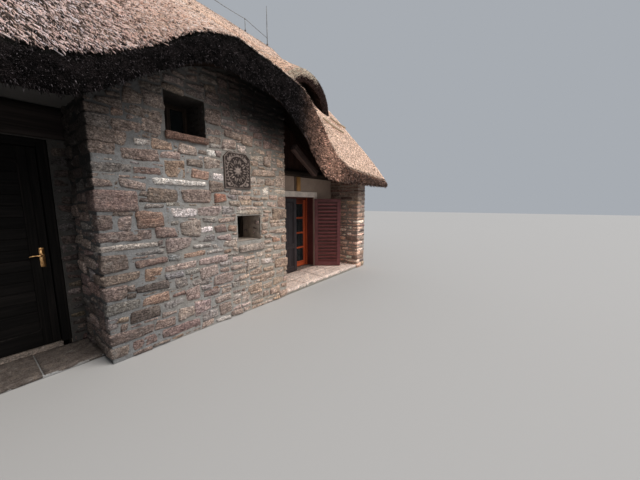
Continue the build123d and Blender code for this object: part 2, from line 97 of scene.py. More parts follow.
class Build:
    """Collects vertices, faces, colours and grain coordinates of one piece."""

    def __init__(self):
        self.v, self.quads, self.tris, self.polys = [], [], [], []
        self.tint, self.gco = [], []
        self.qm, self.tm, self.pm = [], [], []
        self.n = 0

    def add(self, v, quads=None, tris=None, polys=None, tint=(1, 1, 1), gco=None, mat=0):
        v = np.asarray(v, float).reshape(-1, 3)
        k = len(v)
        self.v.append(v)
        t = np.asarray(tint, float)
        if t.ndim == 1:
            t = np.tile(t, (k, 1))
        self.tint.append(t.reshape(k, 3))
        self.gco.append(v.copy() if gco is None else np.asarray(gco, float).reshape(k, 3))
        if quads is not None and len(quads):
            q = np.asarray(quads, np.int64).reshape(-1, 4) + self.n
            self.quads.append(q)
            self.qm.append(np.full(len(q), mat) if np.ndim(mat) == 0 else np.asarray(mat))
        if tris is not None and len(tris):
            q = np.asarray(tris, np.int64).reshape(-1, 3) + self.n
            self.tris.append(q)
            self.tm.append(np.full(len(q), mat) if np.ndim(mat) == 0 else np.asarray(mat))
        for poly in polys or ():
            self.polys.append([int(i) + self.n for i in poly])
            self.pm.append(int(mat))
        self.n += k

    def triangles(self):
        return (
            2 * sum(len(q) for q in self.quads)
            + sum(len(t) for t in self.tris)
            + sum(len(p) - 2 for p in self.polys)
        )

    def make(self, name, mats, body="house", replaces=(), smooth=True, turn=None):
        v = np.concatenate(self.v)
        if turn is not None:
            v = turn(v)
        v = v + ROW
        loops, starts, totals, mat = [], [], [], []
        at = 0
        if self.quads:
            q = np.concatenate(self.quads)
            loops.append(q.reshape(-1))
            starts.append(at + 4 * np.arange(len(q)))
            totals.append(np.full(len(q), 4))
            mat.append(np.concatenate(self.qm))
            at += 4 * len(q)
        if self.tris:
            q = np.concatenate(self.tris)
            loops.append(q.reshape(-1))
            starts.append(at + 3 * np.arange(len(q)))
            totals.append(np.full(len(q), 3))
            mat.append(np.concatenate(self.tm))
            at += 3 * len(q)
        for poly, m in zip(self.polys, self.pm):
            loops.append(np.array(poly))
            starts.append(np.array([at]))
            totals.append(np.array([len(poly)]))
            mat.append(np.array([m]))
            at += len(poly)
        me = bpy.data.meshes.new(name)
        me.vertices.add(len(v))
        me.vertices.foreach_set("co", v.astype(np.float32).reshape(-1))
        me.loops.add(at)
        me.loops.foreach_set("vertex_index", np.concatenate(loops).astype(np.int32))
        starts = np.concatenate(starts)
        me.polygons.add(len(starts))
        me.polygons.foreach_set("loop_start", starts.astype(np.int32))
        me.polygons.foreach_set("loop_total", np.concatenate(totals).astype(np.int32))
        for m in mats:
            me.materials.append(m)
        me.polygons.foreach_set("material_index", np.concatenate(mat).astype(np.int32))
        me.update(calc_edges=True)
        me.validate(clean_customdata=False)
        me.polygons.foreach_set("use_smooth", np.full(len(me.polygons), bool(smooth)))
        a = me.attributes.new("tint", "FLOAT_COLOR", "POINT")
        t = np.concatenate(self.tint)
        a.data.foreach_set("color", np.concatenate([t, np.ones((len(t), 1))], 1).astype(np.float32).reshape(-1))
        g = me.attributes.new("gco", "FLOAT_VECTOR", "POINT")
        g.data.foreach_set("vector", np.concatenate(self.gco).astype(np.float32).reshape(-1))
        ob = bpy.data.objects.new(name, me)
        bpy.context.scene.collection.objects.link(ob)
        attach(ob, body)
        if replaces:
            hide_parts(*replaces)
        COUNTS[name] = self.triangles()
        return ob


COUNTS = {}


def grid_quads(nu, nv, flip=False):
    """Faces of a (nu x nv) grid of vertices, row-major in u."""
    i = np.arange(nu - 1)[:, None] * nv + np.arange(nv - 1)[None, :]
    i = i.reshape(-1)
    q = np.stack([i, i + nv, i + nv + 1, i + 1], 1)
    return q[:, ::-1] if flip else q


def cbox(b, x0, x1, y0, y1, z0, z1, ch=0.003, tint=(1, 1, 1), grain="z", mat=0, seed=0, turn=None):
    """A box with chamfered edges; grain names the axis that the wood runs along."""
    ch = min(ch, (x1 - x0) * 0.45, (y1 - y0) * 0.45, (z1 - z0) * 0.45)
    lo, hi = np.array([x0, y0, z0], float), np.array([x1, y1, z1], float)
    vs, idx = [], {}
    for sx in (0, 1):
        for sy in (0, 1):
            for sz in (0, 1):
                s = np.array([sx, sy, sz])
                corner = np.where(s == 1, hi, lo)
                inward = np.where(s == 1, -1.0, 1.0) * ch
                for axis in range(3):
                    p = corner + inward
                    p[axis] = corner[axis]
                    idx[(sx, sy, sz, axis)] = len(vs)
                    vs.append(p)
    vs = np.array(vs)
    quads, tris = [], []

    def face(ids):
        pts = vs[ids]
        n = np.cross(pts[1] - pts[0], pts[2] - pts[0])
        if np.dot(n, pts.mean(0) - (lo + hi) / 2) < 0:
            ids = ids[::-1]
        (quads if len(ids) == 4 else tris).append(ids)

    for axis in range(3):
        o1, o2 = [a for a in range(3) if a != axis]
        for s in (0, 1):
            ids = []
            for p, q in ((0, 0), (1, 0), (1, 1), (0, 1)):
                k = [0, 0, 0]
                k[axis], k[o1], k[o2] = s, p, q
                ids.append(idx[(*k, axis)])
            face(ids)
        # edges along this axis, between the two other faces
        for p in (0, 1):
            for q in (0, 1):
                k0, k1 = [0, 0, 0], [0, 0, 0]
                k0[axis], k1[axis] = 0, 1
                for k in (k0, k1):
                    k[o1], k[o2] = p, q
                face([idx[(*k0, o1)], idx[(*k1, o1)], idx[(*k1, o2)], idx[(*k0, o2)]])
    for sx in (0, 1):
        for sy in (0, 1):
            for sz in (0, 1):
                face([idx[(sx, sy, sz, a)] for a in range(3)])
    g = {"x": [0, 1, 2], "y": [1, 0, 2], "z": [2, 0, 1]}[grain]
    off = noise3(np.array([[seed * 1.37, seed * 0.71, 0.3], [seed * 0.91, 5.2, seed], [1.1, seed, 9.7]]), 5) * 7
    b.add(vs if turn is None else turn(vs), quads=quads, tris=tris, tint=tint, gco=vs[:, g] + off, mat=mat)


def rough_box(b, x0, x1, y0, y1, z0, z1, step=0.05, amp=0.004, freq=14.0, seed=0, tint=(1, 1, 1), grain="x", mat=0, turn=None, round_=0.15):
    """A closed box of fine faces with worn, uneven sides."""
    lo, hi = np.array([x0, y0, z0], float), np.array([x1, y1, z1], float)
    n = np.maximum(2, np.ceil((hi - lo) / step).astype(int))
    pts, quads, base = [], [], 0
    for axis in range(3):
        o1, o2 = [a for a in range(3) if a != axis]
        for s in (0, 1):
            a = np.linspace(0, 1, n[o1] + 1)
            c = np.linspace(0, 1, n[o2] + 1)
            A, C = np.meshgrid(a, c, indexing="ij")
            p = np.zeros(A.shape + (3,))
            p[..., axis] = s
            p[..., o1], p[..., o2] = A, C
            flip = (s == 1) == (axis == 1)
            quads.append(grid_quads(n[o1] + 1, n[o2] + 1, flip=flip) + base)
            pts.append(p.reshape(-1, 3))
            base += p.shape[0] * p.shape[1]
    p = np.concatenate(pts)
    q = np.concatenate(quads)
    # join the faces along the edges
    key = np.round(p * 10000).astype(np.int64)
    key = key[:, 0] * 10 ** 10 + key[:, 1] * 10 ** 5 + key[:, 2]
    _, first, inv = np.unique(key, return_index=True, return_inverse=True)
    p, q = p[first], inv.reshape(-1)[q]
    q = q.astype(np.int64)
    w = lo + p * (hi - lo)
    # ease the edges, then wear the surface
    size = hi - lo
    r = round_ * size.min()
    d = np.minimum(w - lo, hi - w)
    near = np.clip(1 - d / max(r, 1e-6), 0, 1)
    cnt = np.sort(near, axis=1)[:, ::-1]
    ease = cnt[:, 0] * cnt[:, 1]
    c = (lo + hi) / 2
    out = np.where(near > 0.01, np.sign(w - c), 0.0)
    w = w - out * (ease * r * 0.45)[:, None]
    m = np.stack([fbm(w * freq, seed + 3, 3), fbm(w * freq, seed + 11, 3), fbm(w * freq, seed + 23, 3)], 1)
    w = w + m * amp
    g = {"x": [0, 1, 2], "y": [1, 0, 2], "z": [2, 0, 1]}[grain]
    gco = w[:, g] + seed * 1.7
    if turn is not None:
        w = turn(w)
    b.add(w, quads=q, tint=tint, gco=gco, mat=mat)


# ---------------------------------------------------------------------------
# materials
# ---------------------------------------------------------------------------
class Mat:
    """Small helper around a node tree with one principled shader."""

    def __init__(self, name, rough=0.8, metallic=0.0, base=(0.5, 0.5, 0.5)):
        self.mat = bpy.data.materials.new(name)
        self.mat.use_nodes = True
        self.t = self.mat.node_tree
        self.p = self.t.nodes["Principled BSDF"]
        self.p.inputs["Roughness"].default_value = rough
        self.p.inputs["Metallic"].default_value = metallic
        self.p.inputs["Base Color"].default_value = (*base, 1)
        self.mat.diffuse_color = (*base, 1)

    def node(self, kind, **settings):
        n = self.t.nodes.new(kind)
        for k, v in settings.items():
            setattr(n, k, v)
        return n

    def link(self, a, b):
        self.t.links.new(a, b)

    def coords(self, attr=None):
        if attr:
            return self.node("ShaderNodeAttribute", attribute_name=attr).outputs["Vector"]
        return self.node("ShaderNodeTexCoord").outputs["Object"]

    def mapped(self, vec, scale, loc=(0, 0, 0)):
        m = self.node("ShaderNodeMapping")
        m.inputs["Scale"].default_value = scale
        m.inputs["Location"].default_value = loc
        self.link(vec, m.inputs["Vector"])
        return m.outputs["Vector"]

    def noise(self, vec, scale=5.0, detail=4.0, rough=0.55, dist=0.0):
        n = self.node("ShaderNodeTexNoise")
        n.inputs["Scale"].default_value = scale
        n.inputs["Detail"].default_value = detail
        n.inputs["Roughness"].default_value = rough
        n.inputs["Distortion"].default_value = dist
        self.link(vec, n.inputs["Vector"])
        return n.outputs["Fac"]

    def voronoi(self, vec, scale=5.0, feature="F1", out="Distance", randomness=1.0):
        n = self.node("ShaderNodeTexVoronoi", feature=feature)
        n.inputs["Scale"].default_value = scale
        n.inputs["Randomness"].default_value = randomness
        self.link(vec, n.inputs["Vector"])
        return n.outputs[out]

    def ramp(self, fac, stops, interp="LINEAR"):
        n = self.node("ShaderNodeValToRGB")
        n.color_ramp.interpolation = interp
        e = n.color_ramp.elements
        while len(e) < len(stops):
            e.new(0.5)
        for el, (pos, col) in zip(e, stops):
            el.position = pos
            el.color = (*col, 1) if len(col) == 3 else col
        self.link(fac, n.inputs["Fac"])
        return n.outputs["Color"]

    def mapr(self, fac, a, b, c, d):
        n = self.node("ShaderNodeMapRange")
        for k, v in zip(("From Min", "From Max", "To Min", "To Max"), (a, b, c, d)):
            n.inputs[k].default_value = v
        self.link(fac, n.inputs["Value"])
        return n.outputs["Result"]

    def mix(self, a, b, fac=0.5, kind="MIX"):
        n = self.node("ShaderNodeMix", data_type="RGBA", blend_type=kind)
        for k, v in ((6, a), (7, b)):
            if hasattr(v, "links") or hasattr(v, "is_output"):
                self.link(v, n.inputs[k])
            else:
                n.inputs[k].default_value = (*v, 1)
        if hasattr(fac, "is_output"):
            self.link(fac, n.inputs[0])
        else:
            n.inputs[0].default_value = fac
        return n.outputs[2]

    def math(self, op, a, b=0.0):
        n = self.node("ShaderNodeMath", operation=op)
        for k, v in ((0, a), (1, b)):
            if hasattr(v, "is_output"):
                self.link(v, n.inputs[k])
            else:
                n.inputs[k].default_value = v
        return n.outputs[0]

    def bump(self, height, strength=0.5, distance=0.01, normal=None):
        n = self.node("ShaderNodeBump")
        n.inputs["Strength"].default_value = strength
        n.inputs["Distance"].default_value = distance
        self.link(height, n.inputs["Height"])
        if normal is not None:
            self.link(normal, n.inputs["Normal"])
        return n.outputs["Normal"]

    def color(self, c):
        self.link(c, self.p.inputs["Base Color"])

    def rough(self, r):
        self.link(r, self.p.inputs["Roughness"])

    def normal(self, n):
        self.link(n, self.p.inputs["Normal"])

    def tint(self):
        return self.node("ShaderNodeAttribute", attribute_name="tint").outputs["Color"]


def stone_material(name, tinted=True, base=(0.3, 0.24, 0.2), strata=1.0, light=1.0, marks=0.85):
    m = Mat(name, rough=0.9, base=base)
    co = m.coords()
    speck = m.noise(co, 95, 3, 0.7)
    blotch = m.noise(co, 15, 5, 0.6, 0.4)
    layers = m.noise(m.mapped(co, (7, 7, 42)), 1.0, 4, 0.65, 0.5)
    tint = m.tint() if tinted else m.ramp(blotch, [(0.3, base), (0.7, tuple(min(1, c * 1.25) for c in base))])
    shade = m.ramp(blotch, [(0.30, (0.62, 0.58, 0.56)), (0.50, (0.95, 0.95, 0.95)), (0.70, (1.28, 1.22, 1.15))])
    c = m.mix(m.mix(tint, (1.44, 1.42, 1.42), 1.0, "MULTIPLY"), shade, 1.0, "MULTIPLY")
    c = m.mix(c, m.ramp(layers, [(0.36, (0.50, 0.46, 0.44)), (0.50, (1.0, 1.0, 1.0)), (0.66, (1.34, 1.32, 1.28))]), 0.42 * strata, "MULTIPLY")
    mark = m.noise(m.mapped(co, (40, 40, 58)), 1.0, 4, 0.66, 0.3)
    c = m.mix(c, m.ramp(mark, [(0.36, (0.42, 0.39, 0.37)), (0.47, (0.96, 0.95, 0.94)), (0.58, (1.36, 1.36, 1.35)), (0.67, (1.95, 1.93, 1.90))]), marks, "MULTIPLY")
    c = m.mix(c, m.ramp(speck, [(0.38, (0.42, 0.40, 0.38)), (0.50, (1.05, 1.05, 1.05)), (0.62, (1.75, 1.72, 1.66))]), 0.62, "MULTIPLY")
    # pale lime left on the face in places
    lime = m.mapr(m.noise(co, 9, 6, 0.7), 0.58, 0.70, 0.0, 0.45)
    c = m.mix(c, (0.36 * light, 0.345 * light, 0.325 * light), lime)
    m.color(c)
    h = m.math("ADD", m.math("MULTIPLY", layers, 0.7), m.math("MULTIPLY", mark, 0.9))
    m.normal(m.bump(h, 1.0, 0.026))
    m.rough(m.mapr(speck, 0.3, 0.7, 0.82, 0.98))
    return m.mat


def mortar_material(name, cold=(0.41, 0.412, 0.415), warm=(0.425, 0.39, 0.345), tinted=False):
    m = Mat(name, rough=0.95, base=cold)
    co = m.coords()
    sep = m.node("ShaderNodeSeparateXYZ")
    m.link(co, sep.inputs[0])
    # colder and fresher on the left of the bay, warmer to the right
    along = m.mapr(sep.outputs[0], -1.2, 0.9, 0.0, 1.0)
    wob = m.math("ADD", along, m.mapr(m.noise(co, 2.2, 3), 0.3, 0.7, -0.35, 0.35))
    c = m.mix(cold, warm, wob)
    c = m.mix(c, m.ramp(m.noise(co, 11, 5, 0.65), [(0.3, (0.66, 0.64, 0.62)), (0.5, (0.96, 0.96, 0.96)), (0.72, (1.2, 1.2, 1.2))]), 0.8, "MULTIPLY")
    c = m.mix(c, m.ramp(m.noise(co, 160, 2, 0.6), [(0.35, (0.62, 0.6, 0.58)), (0.55, (1.06, 1.06, 1.06))]), 0.6, "MULTIPLY")
    if tinted:
        c = m.mix(c, m.tint(), 1.0, "MULTIPLY")
    m.color(c)
    h = m.math("ADD", m.noise(co, 18, 5, 0.6), m.math("MULTIPLY", m.noise(co, 95, 4, 0.7), 0.6))
    m.normal(m.bump(h, 1.0, 0.024))
    return m.mat


def wood_material(name, dark, mid, light, rough=0.6, attr="gco", tinted=True, grain=1.0, spec=0.4, coat=0.0):
    m = Mat(name, rough=rough, base=mid)
    m.p.inputs["Specular IOR Level"].default_value = spec
    if coat:
        m.p.inputs["Coat Weight"].default_value = coat
        m.p.inputs["Coat Roughness"].default_value = 0.25
    co = m.coords(attr)
    fib = m.noise(m.mapped(co, (2.2, 62, 62)), 1.0, 5, 0.62, 0.6)
    ring = m.noise(m.mapped(co, (0.8, 14, 14)), 1.0, 3, 0.5, 1.2)
    f = m.math("ADD", m.math("MULTIPLY", fib, 0.55), m.math("MULTIPLY", ring, 0.45))
    c = m.ramp(f, [(0.34, dark), (0.50, mid), (0.66, light)])
    if tinted and attr:
        c = m.mix(c, m.tint(), 1.0, "MULTIPLY")
    m.color(c)
    m.normal(m.bump(fib, 0.35 * grain, 0.003))
    m.rough(m.mapr(f, 0.3, 0.7, min(1, rough + 0.12), rough - 0.08))
    return m.mat


def painted_wood(name, base, rough=0.45, attr="gco", worn=(0.2, 0.15, 0.12), wear=0.15):
    m = Mat(name, rough=rough, base=base)
    co = m.coords(attr)
    fib = m.noise(m.mapped(co, (3, 70, 70)), 1.0, 4, 0.6, 0.3)
    cloud = m.noise(co, 5, 4, 0.6)
    c = m.ramp(cloud, [(0.3, tuple(x * 0.80 for x in base)), (0.7, tuple(min(1, x * 1.18) for x in base))])
    w = m.math("MULTIPLY", m.mapr(m.noise(m.mapped(co, (6, 30, 30)), 1.0, 6, 0.7), 0.60, 0.72, 0.0, 1.0), wear)
    c = m.mix(c, worn, w)
    if attr:
        c = m.mix(c, m.tint(), 1.0, "MULTIPLY")
    m.color(c)
    m.normal(m.bump(fib, 0.22, 0.002))
    m.rough(m.mapr(cloud, 0.3, 0.7, rough + 0.12, rough - 0.05))
    return m.mat


def thatch_top_material(name):
    m = Mat(name, rough=0.92, base=(0.45, 0.36, 0.3))
    m.p.inputs["Specular IOR Level"].default_value = 0.2
    co = m.coords("gco")
    reeds = m.noise(m.mapped(co, (64, 17, 44)), 1.0, 4, 0.72, 0.8)
    clump = m.noise(m.mapped(co, (24, 10, 20)), 1.0, 5, 0.7, 0.8)
    big = m.noise(co, 1.3, 3, 0.5)
    c = m.mix(m.tint(), m.ramp(reeds, [(0.37, (0.20, 0.165, 0.15)), (0.48, (0.92, 0.90, 0.88)), (0.62, (1.48, 1.45, 1.38))]), 0.95, "MULTIPLY")
    c = m.mix(c, m.ramp(clump, [(0.36, (0.28, 0.24, 0.22)), (0.47, (0.95, 0.94, 0.93)), (0.56, (1.08, 1.08, 1.08)), (0.70, (1.30, 1.30, 1.28))]), 0.85, "MULTIPLY")
    c = m.mix(c, m.ramp(big, [(0.35, (0.86, 0.84, 0.84)), (0.65, (1.1, 1.08, 1.04))]), 0.8, "MULTIPLY")
    m.color(c)
    h = m.math("ADD", m.math("MULTIPLY", reeds, 0.6), clump)
    m.normal(m.bump(h, 1.0, 0.02))
    return m.mat


def thatch_edge_material(name):
    m = Mat(name, rough=0.95, base=(0.05, 0.04, 0.04))
    m.p.inputs["Specular IOR Level"].default_value = 0.15
    co = m.coords("gco")
    dots = m.voronoi(m.mapped(co, (1, 1, 1)), 120, "F1", "Distance")
    fuzz = m.noise(co, 85, 4, 0.75)
    big = m.noise(co, 9, 4, 0.6)
    c = m.mix(m.tint(), m.ramp(dots, [(0.12, (1.9, 1.8, 1.7)), (0.35, (1.0, 1.0, 1.0)), (0.62, (0.35, 0.33, 0.32))]), 0.85, "MULTIPLY")
    c = m.mix(c, m.ramp(fuzz, [(0.34, (0.35, 0.34, 0.34)), (0.5, (0.95, 0.95, 0.95)), (0.68, (1.9, 1.8, 1.7))]), 0.8, "MULTIPLY")
    c = m.mix(c, m.ramp(big, [(0.3, (0.65, 0.65, 0.66)), (0.7, (1.25, 1.2, 1.15))]), 0.8, "MULTIPLY")
    m.color(c)
    h = m.math("SUBTRACT", m.math("MULTIPLY", fuzz, 0.7), dots)
    m.normal(m.bump(h, 1.0, 0.015))
    return m.mat


def render_material(name, base, rough=0.9, scale=1.0):
    m = Mat(name, rough=rough, base=base)
    co = m.coords()
    cloud = m.noise(co, 2.4, 5, 0.6)
    grit = m.noise(co, 170 * scale, 3, 0.65)
    trowel = m.noise(m.mapped(co, (9, 9, 5)), 1.0, 4, 0.6, 0.8)
    c = m.ramp(cloud, [(0.3, tuple(x * 0.84 for x in base)), (0.7, tuple(min(1, x * 1.1) for x in base))])
    c = m.mix(c, m.ramp(grit, [(0.35, (0.8, 0.79, 0.78)), (0.6, (1.05, 1.05, 1.05))]), 0.6, "MULTIPLY")
    m.color(c)
    m.normal(m.bump(m.math("ADD", trowel, m.math("MULTIPLY", grit, 0.3)), 0.5, 0.008))
    m.rough(m.mapr(grit, 0.3, 0.7, rough - 0.05, min(1, rough + 0.08)))
    return m.mat


def metal_material(name, base, rough=0.35, patina=None, scale=30.0, attr=None):
    m = Mat(name, rough=rough, metallic=1.0, base=base)
    co = m.coords(attr)
    n = m.noise(co, scale, 5, 0.65)
    c = m.ramp(n, [(0.35, patina or tuple(x * 0.55 for x in base)), (0.62, base)])
    m.color(c)
    m.rough(m.mapr(n, 0.3, 0.7, min(1, rough + 0.3), rough))
    m.normal(m.bump(m.noise(co, scale * 4, 3, 0.6), 0.2, 0.001))
    return m.mat


def glass_material(name):
    m = Mat(name, rough=0.04, base=(0.05, 0.06, 0.065))
    m.p.inputs["IOR"].default_value = 1.5
    m.p.inputs["Transmission Weight"].default_value = 0.55
    co = m.coords()
    dust = m.noise(co, 6, 5, 0.6)
    m.color(m.ramp(dust, [(0.3, (0.035, 0.045, 0.05)), (0.7, (0.08, 0.09, 0.095))]))
    m.rough(m.mapr(dust, 0.3, 0.7, 0.03, 0.12))
    m.normal(m.bump(m.noise(co, 3.5, 2, 0.4), 0.08, 0.004))
    return m.mat


def relief_material(name):
    """Dark cast metal; raised parts are rubbed lighter through the tint."""
    m = Mat(name, rough=0.6, metallic=0.35, base=(0.12, 0.095, 0.08))
    co = m.coords("gco")
    n = m.noise(co, 60, 5, 0.7)
    c = m.mix(m.tint(), m.ramp(n, [(0.32, (0.6, 0.6, 0.62)), (0.55, (1, 1, 1)), (0.75, (1.35, 1.3, 1.2))]), 0.9, "MULTIPLY")
    m.color(c)
    m.rough(m.mapr(n, 0.3, 0.7, 0.7, 0.45))
    m.normal(m.bump(m.noise(co, 220, 4, 0.6), 0.35, 0.0015))
    return m.mat


M_STONE = stone_material("rubble_face")
M_MORTAR = mortar_material("lime_mortar")
M_MORTAR_DARK = mortar_material("lime_mortar_shaded", cold=(0.10, 0.095, 0.09), warm=(0.15, 0.13, 0.11))
# very dark mortar for the bay's front wall, seen in the window reveals: painted shade of the deep reveals
M_REVEAL = mortar_material("lime_mortar_reveal", cold=(0.055, 0.050, 0.047), warm=(0.10, 0.085, 0.072))
M_MORTAR_PORCH = mortar_material("lime_mortar_porch", cold=(0.50, 0.42, 0.36), warm=(0.50, 0.40, 0.34))
M_MORTAR_T = mortar_material("lime_mortar_weathered", tinted=True)
M_SILL = stone_material("sill_face", strata=0.5, light=0.8)
M_FLAG = stone_material("flag_face", strata=0.12, light=1.1, marks=0.22)
M_FLOOR = render_material("floor_bed", (0.42, 0.38, 0.34))
M_TOP = thatch_top_material("reed_top")
M_EDGE = thatch_edge_material("reed_ends")
M_DARK = wood_material("dark_timber", (0.022, 0.016, 0.012), (0.055, 0.038, 0.028), (0.10, 0.072, 0.054), rough=0.75)
M_DARK_CAD = wood_material("dark_timber_plain", (0.020, 0.015, 0.012), (0.045, 0.033, 0.026), (0.075, 0.056, 0.044), rough=0.75, attr=None)
M_BEAM = wood_material("old_beam", (0.03, 0.022, 0.018), (0.10, 0.074, 0.060), (0.22, 0.17, 0.14), rough=0.85, grain=1.6)
M_HONEY = wood_material("honey_post", (0.30, 0.15, 0.05), (0.52, 0.29, 0.11), (0.66, 0.42, 0.20), rough=0.55)
# near-black boards: a dark stain made darker still as painted shade of the entrance recess
M_DOOR = wood_material("black_brown_boards_shaded", (0.0035, 0.003, 0.0028), (0.007, 0.006, 0.0055), (0.014, 0.011, 0.010), rough=0.72, grain=1.2, spec=0.18)
M_DOOR_CAD = M_DOOR
M_ORANGE = wood_material("orange_brown_varnish", (0.27, 0.050, 0.019), (0.48, 0.100, 0.036), (0.62, 0.155, 0.062), rough=0.38, coat=0.35)
M_REDBROWN = painted_wood("red_brown_stain", (0.192, 0.068, 0.067), rough=0.42, worn=(0.18, 0.08, 0.06), wear=0.25)
M_SLATE = painted_wood("slate_grey_paint", (0.036, 0.026, 0.029), rough=0.4, worn=(0.14, 0.12, 0.12), wear=0.2)
M_PALE = painted_wood("pale_paint", (0.84, 0.75, 0.67), rough=0.55, worn=(0.36, 0.30, 0.24), wear=0.3)
M_CREAM = render_material("cream_render", (0.50, 0.39, 0.32))
# the recess ceiling: a pale plaster given a dark grey as painted shade
M_PLASTER = render_material("pale_plaster", (0.13, 0.125, 0.12))
M_INSIDE = render_material("floor_screed", (0.28, 0.25, 0.22))
M_GLASS = glass_material("window_glass")
M_POLE = wood_material("weathered_pole", (0.34, 0.27, 0.20), (0.52, 0.43, 0.33), (0.68, 0.58, 0.46), rough=0.8)
M_STEP = stone_material("threshold_face", tinted=False, marks=0.3, base=(0.16, 0.14, 0.125), strata=0.2)
M_BRASS = metal_material("handle_brass", (0.80, 0.52, 0.26), 0.28, patina=(0.32, 0.17, 0.08), attr="gco")
M_METAL = metal_material("dull_metal", (0.38, 0.38, 0.37), 0.5, patina=(0.16, 0.15, 0.14))
M_RELIEF = relief_material("cast_relief")

CAD_MATERIALS = {
    "bay_front_wall": M_REVEAL, "bay_left_return": M_MORTAR, "bay_right_return": M_MORTAR,
    "gable_wall_left": M_MORTAR, "gable_wall_right": M_MORTAR_PORCH, "rear_wall": M_MORTAR,
    "entry_wall_left": M_MORTAR_DARK, "entry_wall_right": M_MORTAR_DARK, "entry_wall_over_door": M_MORTAR_DARK,
    "porch_wall_left": M_CREAM, "porch_wall_right": M_CREAM, "porch_wall_over_door": M_CREAM,
    "porch_upper_wall": M_DARK_CAD, "bay_window_frames": M_DARK_CAD, "side_window_frames": M_DARK_CAD,
    "dormer_window_frames": M_DARK_CAD, "bay_window_glass": M_GLASS, "side_window_glass": M_GLASS,
    "dormer_glass": M_GLASS, "glazed_panes_left": M_GLASS, "glazed_panes_right": M_GLASS,
    "entry_door_frame": M_DOOR_CAD, "entry_ceiling": M_PLASTER, "ground_floor": M_INSIDE,
    "upper_floor": M_INSIDE, "entry_floor": M_FLOOR, "porch_floor": M_FLOOR,
    "door_thresholds": M_STEP, "lightning_conductor": M_METAL,
}


# ---------------------------------------------------------------------------
# the thatch's form
# ---------------------------------------------------------------------------
SLOPE = [(-0.50, 2.48), (0.0, 3.12), (1.2, 4.40), (4.0, 7.24)]
EAVE_U, THATCH_V = 2.48, 0.50
VERGE_X0, VERGE_X1 = -3.68, 6.49
STATIONS = np.array([
    (-3.68, 2.95, 2.66, 2.80), (-0.55, 2.98, 2.67, 2.80), (-0.23, 3.01, 2.68, 2.81),
    (0.00, 3.09, 2.80, 2.88), (0.38, 3.31, 3.07, 3.15), (0.79, 3.60, 3.32, 3.40),
    (1.09, 3.79, 3.47, 3.55), (1.50, 3.91, 3.46, 3.71), (2.24, 3.82, 3.39, 3.68),
    (2.81, 3.73, 3.00, 3.60), (3.06, 3.56, 2.72, 3.48), (3.36, 3.29, 2.40, 3.20),
    (3.60, 3.03, 2.27, 2.93), (3.95, 2.72, 2.27, 2.60), (4.45, 2.54, 2.27, 2.38),
    (6.49, 2.40, 2.28, 2.35),
])
_fx = np.arange(-4.2, 7.0, 0.01)


def _smooth(values, sigma=6):
    k = np.exp(-0.5 * (np.arange(-3 * sigma, 3 * sigma + 1) / sigma) ** 2)
    return np.convolve(np.pad(values, 3 * sigma, mode="edge"), k / k.sum(), "valid")


_fU, _fL, _fB = (_smooth(np.interp(_fx, STATIONS[:, 0], STATIONS[:, k])) for k in (1, 2, 3))
_fLift = _smooth(np.where(_fx < 3.94, _fU - EAVE_U, 0.0), 14)
_sy, _sz = np.array(SLOPE).T


def upper_edge(x):
    return np.interp(x, _fx, _fU)


def lower_edge(x):
    return np.interp(x, _fx, _fL)


def wall_under(x):
    return np.interp(x, _fx, _fB)


def plain(y):
    return np.interp(y, _sy, _sz)


def _top_raw(x, y):
    u, lift = upper_edge(x), np.interp(x, _fx, _fLift)
    nodes = [
        (-0.50, u), (0.0, plain(0.0) + 0.80 * (u - EAVE_U)), (1.2, plain(1.2) + 0.50 * lift),
        (2.4, plain(2.4) + 0.20 * lift), (3.3, plain(3.3) + 0 * u), (4.0, plain(4.0) + 0 * u),
    ]
    out = nodes[-1][1] + 0 * y
    for (ya, za), (yb, zb) in zip(nodes, nodes[1:]):
        t = (y - ya) / (yb - ya)
        low = ya == -0.50
        high = yb == 4.0
        sel = ((y >= ya) | low) & ((y < yb) | high)
        out = np.where(sel, za + (zb - za) * t, out)
    return out


def top_z(x, y):
    """The thatch's upper surface, eased over its bends."""
    x, y = np.broadcast_arrays(np.asarray(x, float), np.asarray(y, float))
    w = 0.26 * smoothstep(-0.5, -0.1, y) * (1 - smoothstep(3.7, 4.0, y))
    out = 0
    for k, g in ((-1, 0.17), (-0.5, 0.2), (0, 0.26), (0.5, 0.2), (1, 0.17)):
        out = out + g * _top_raw(x, y + k * w)
    return out


def under_z(x, y):
    x, y = np.broadcast_arrays(np.asarray(x, float), np.asarray(y, float))
    L, B = lower_edge(x), wall_under(x)
    nodes = [
        (-0.50, L), (0.0, B), (0.6, B + 0.55), (1.3, _top_raw(x, 1.3 + 0 * x) - THATCH_V),
        (2.4, _top_raw(x, 2.4 + 0 * x) - THATCH_V), (3.3, plain(3.3) - THATCH_V + 0 * x),
        (4.0, plain(4.0) - THATCH_V + 0 * x),
    ]
    out = nodes[-1][1] + 0 * y
    for (ya, za), (yb, zb) in zip(nodes, nodes[1:]):
        t = (y - ya) / (yb - ya)
        out = np.where((y >= ya) & (y <= yb), za + (zb - za) * t, out)
    return out


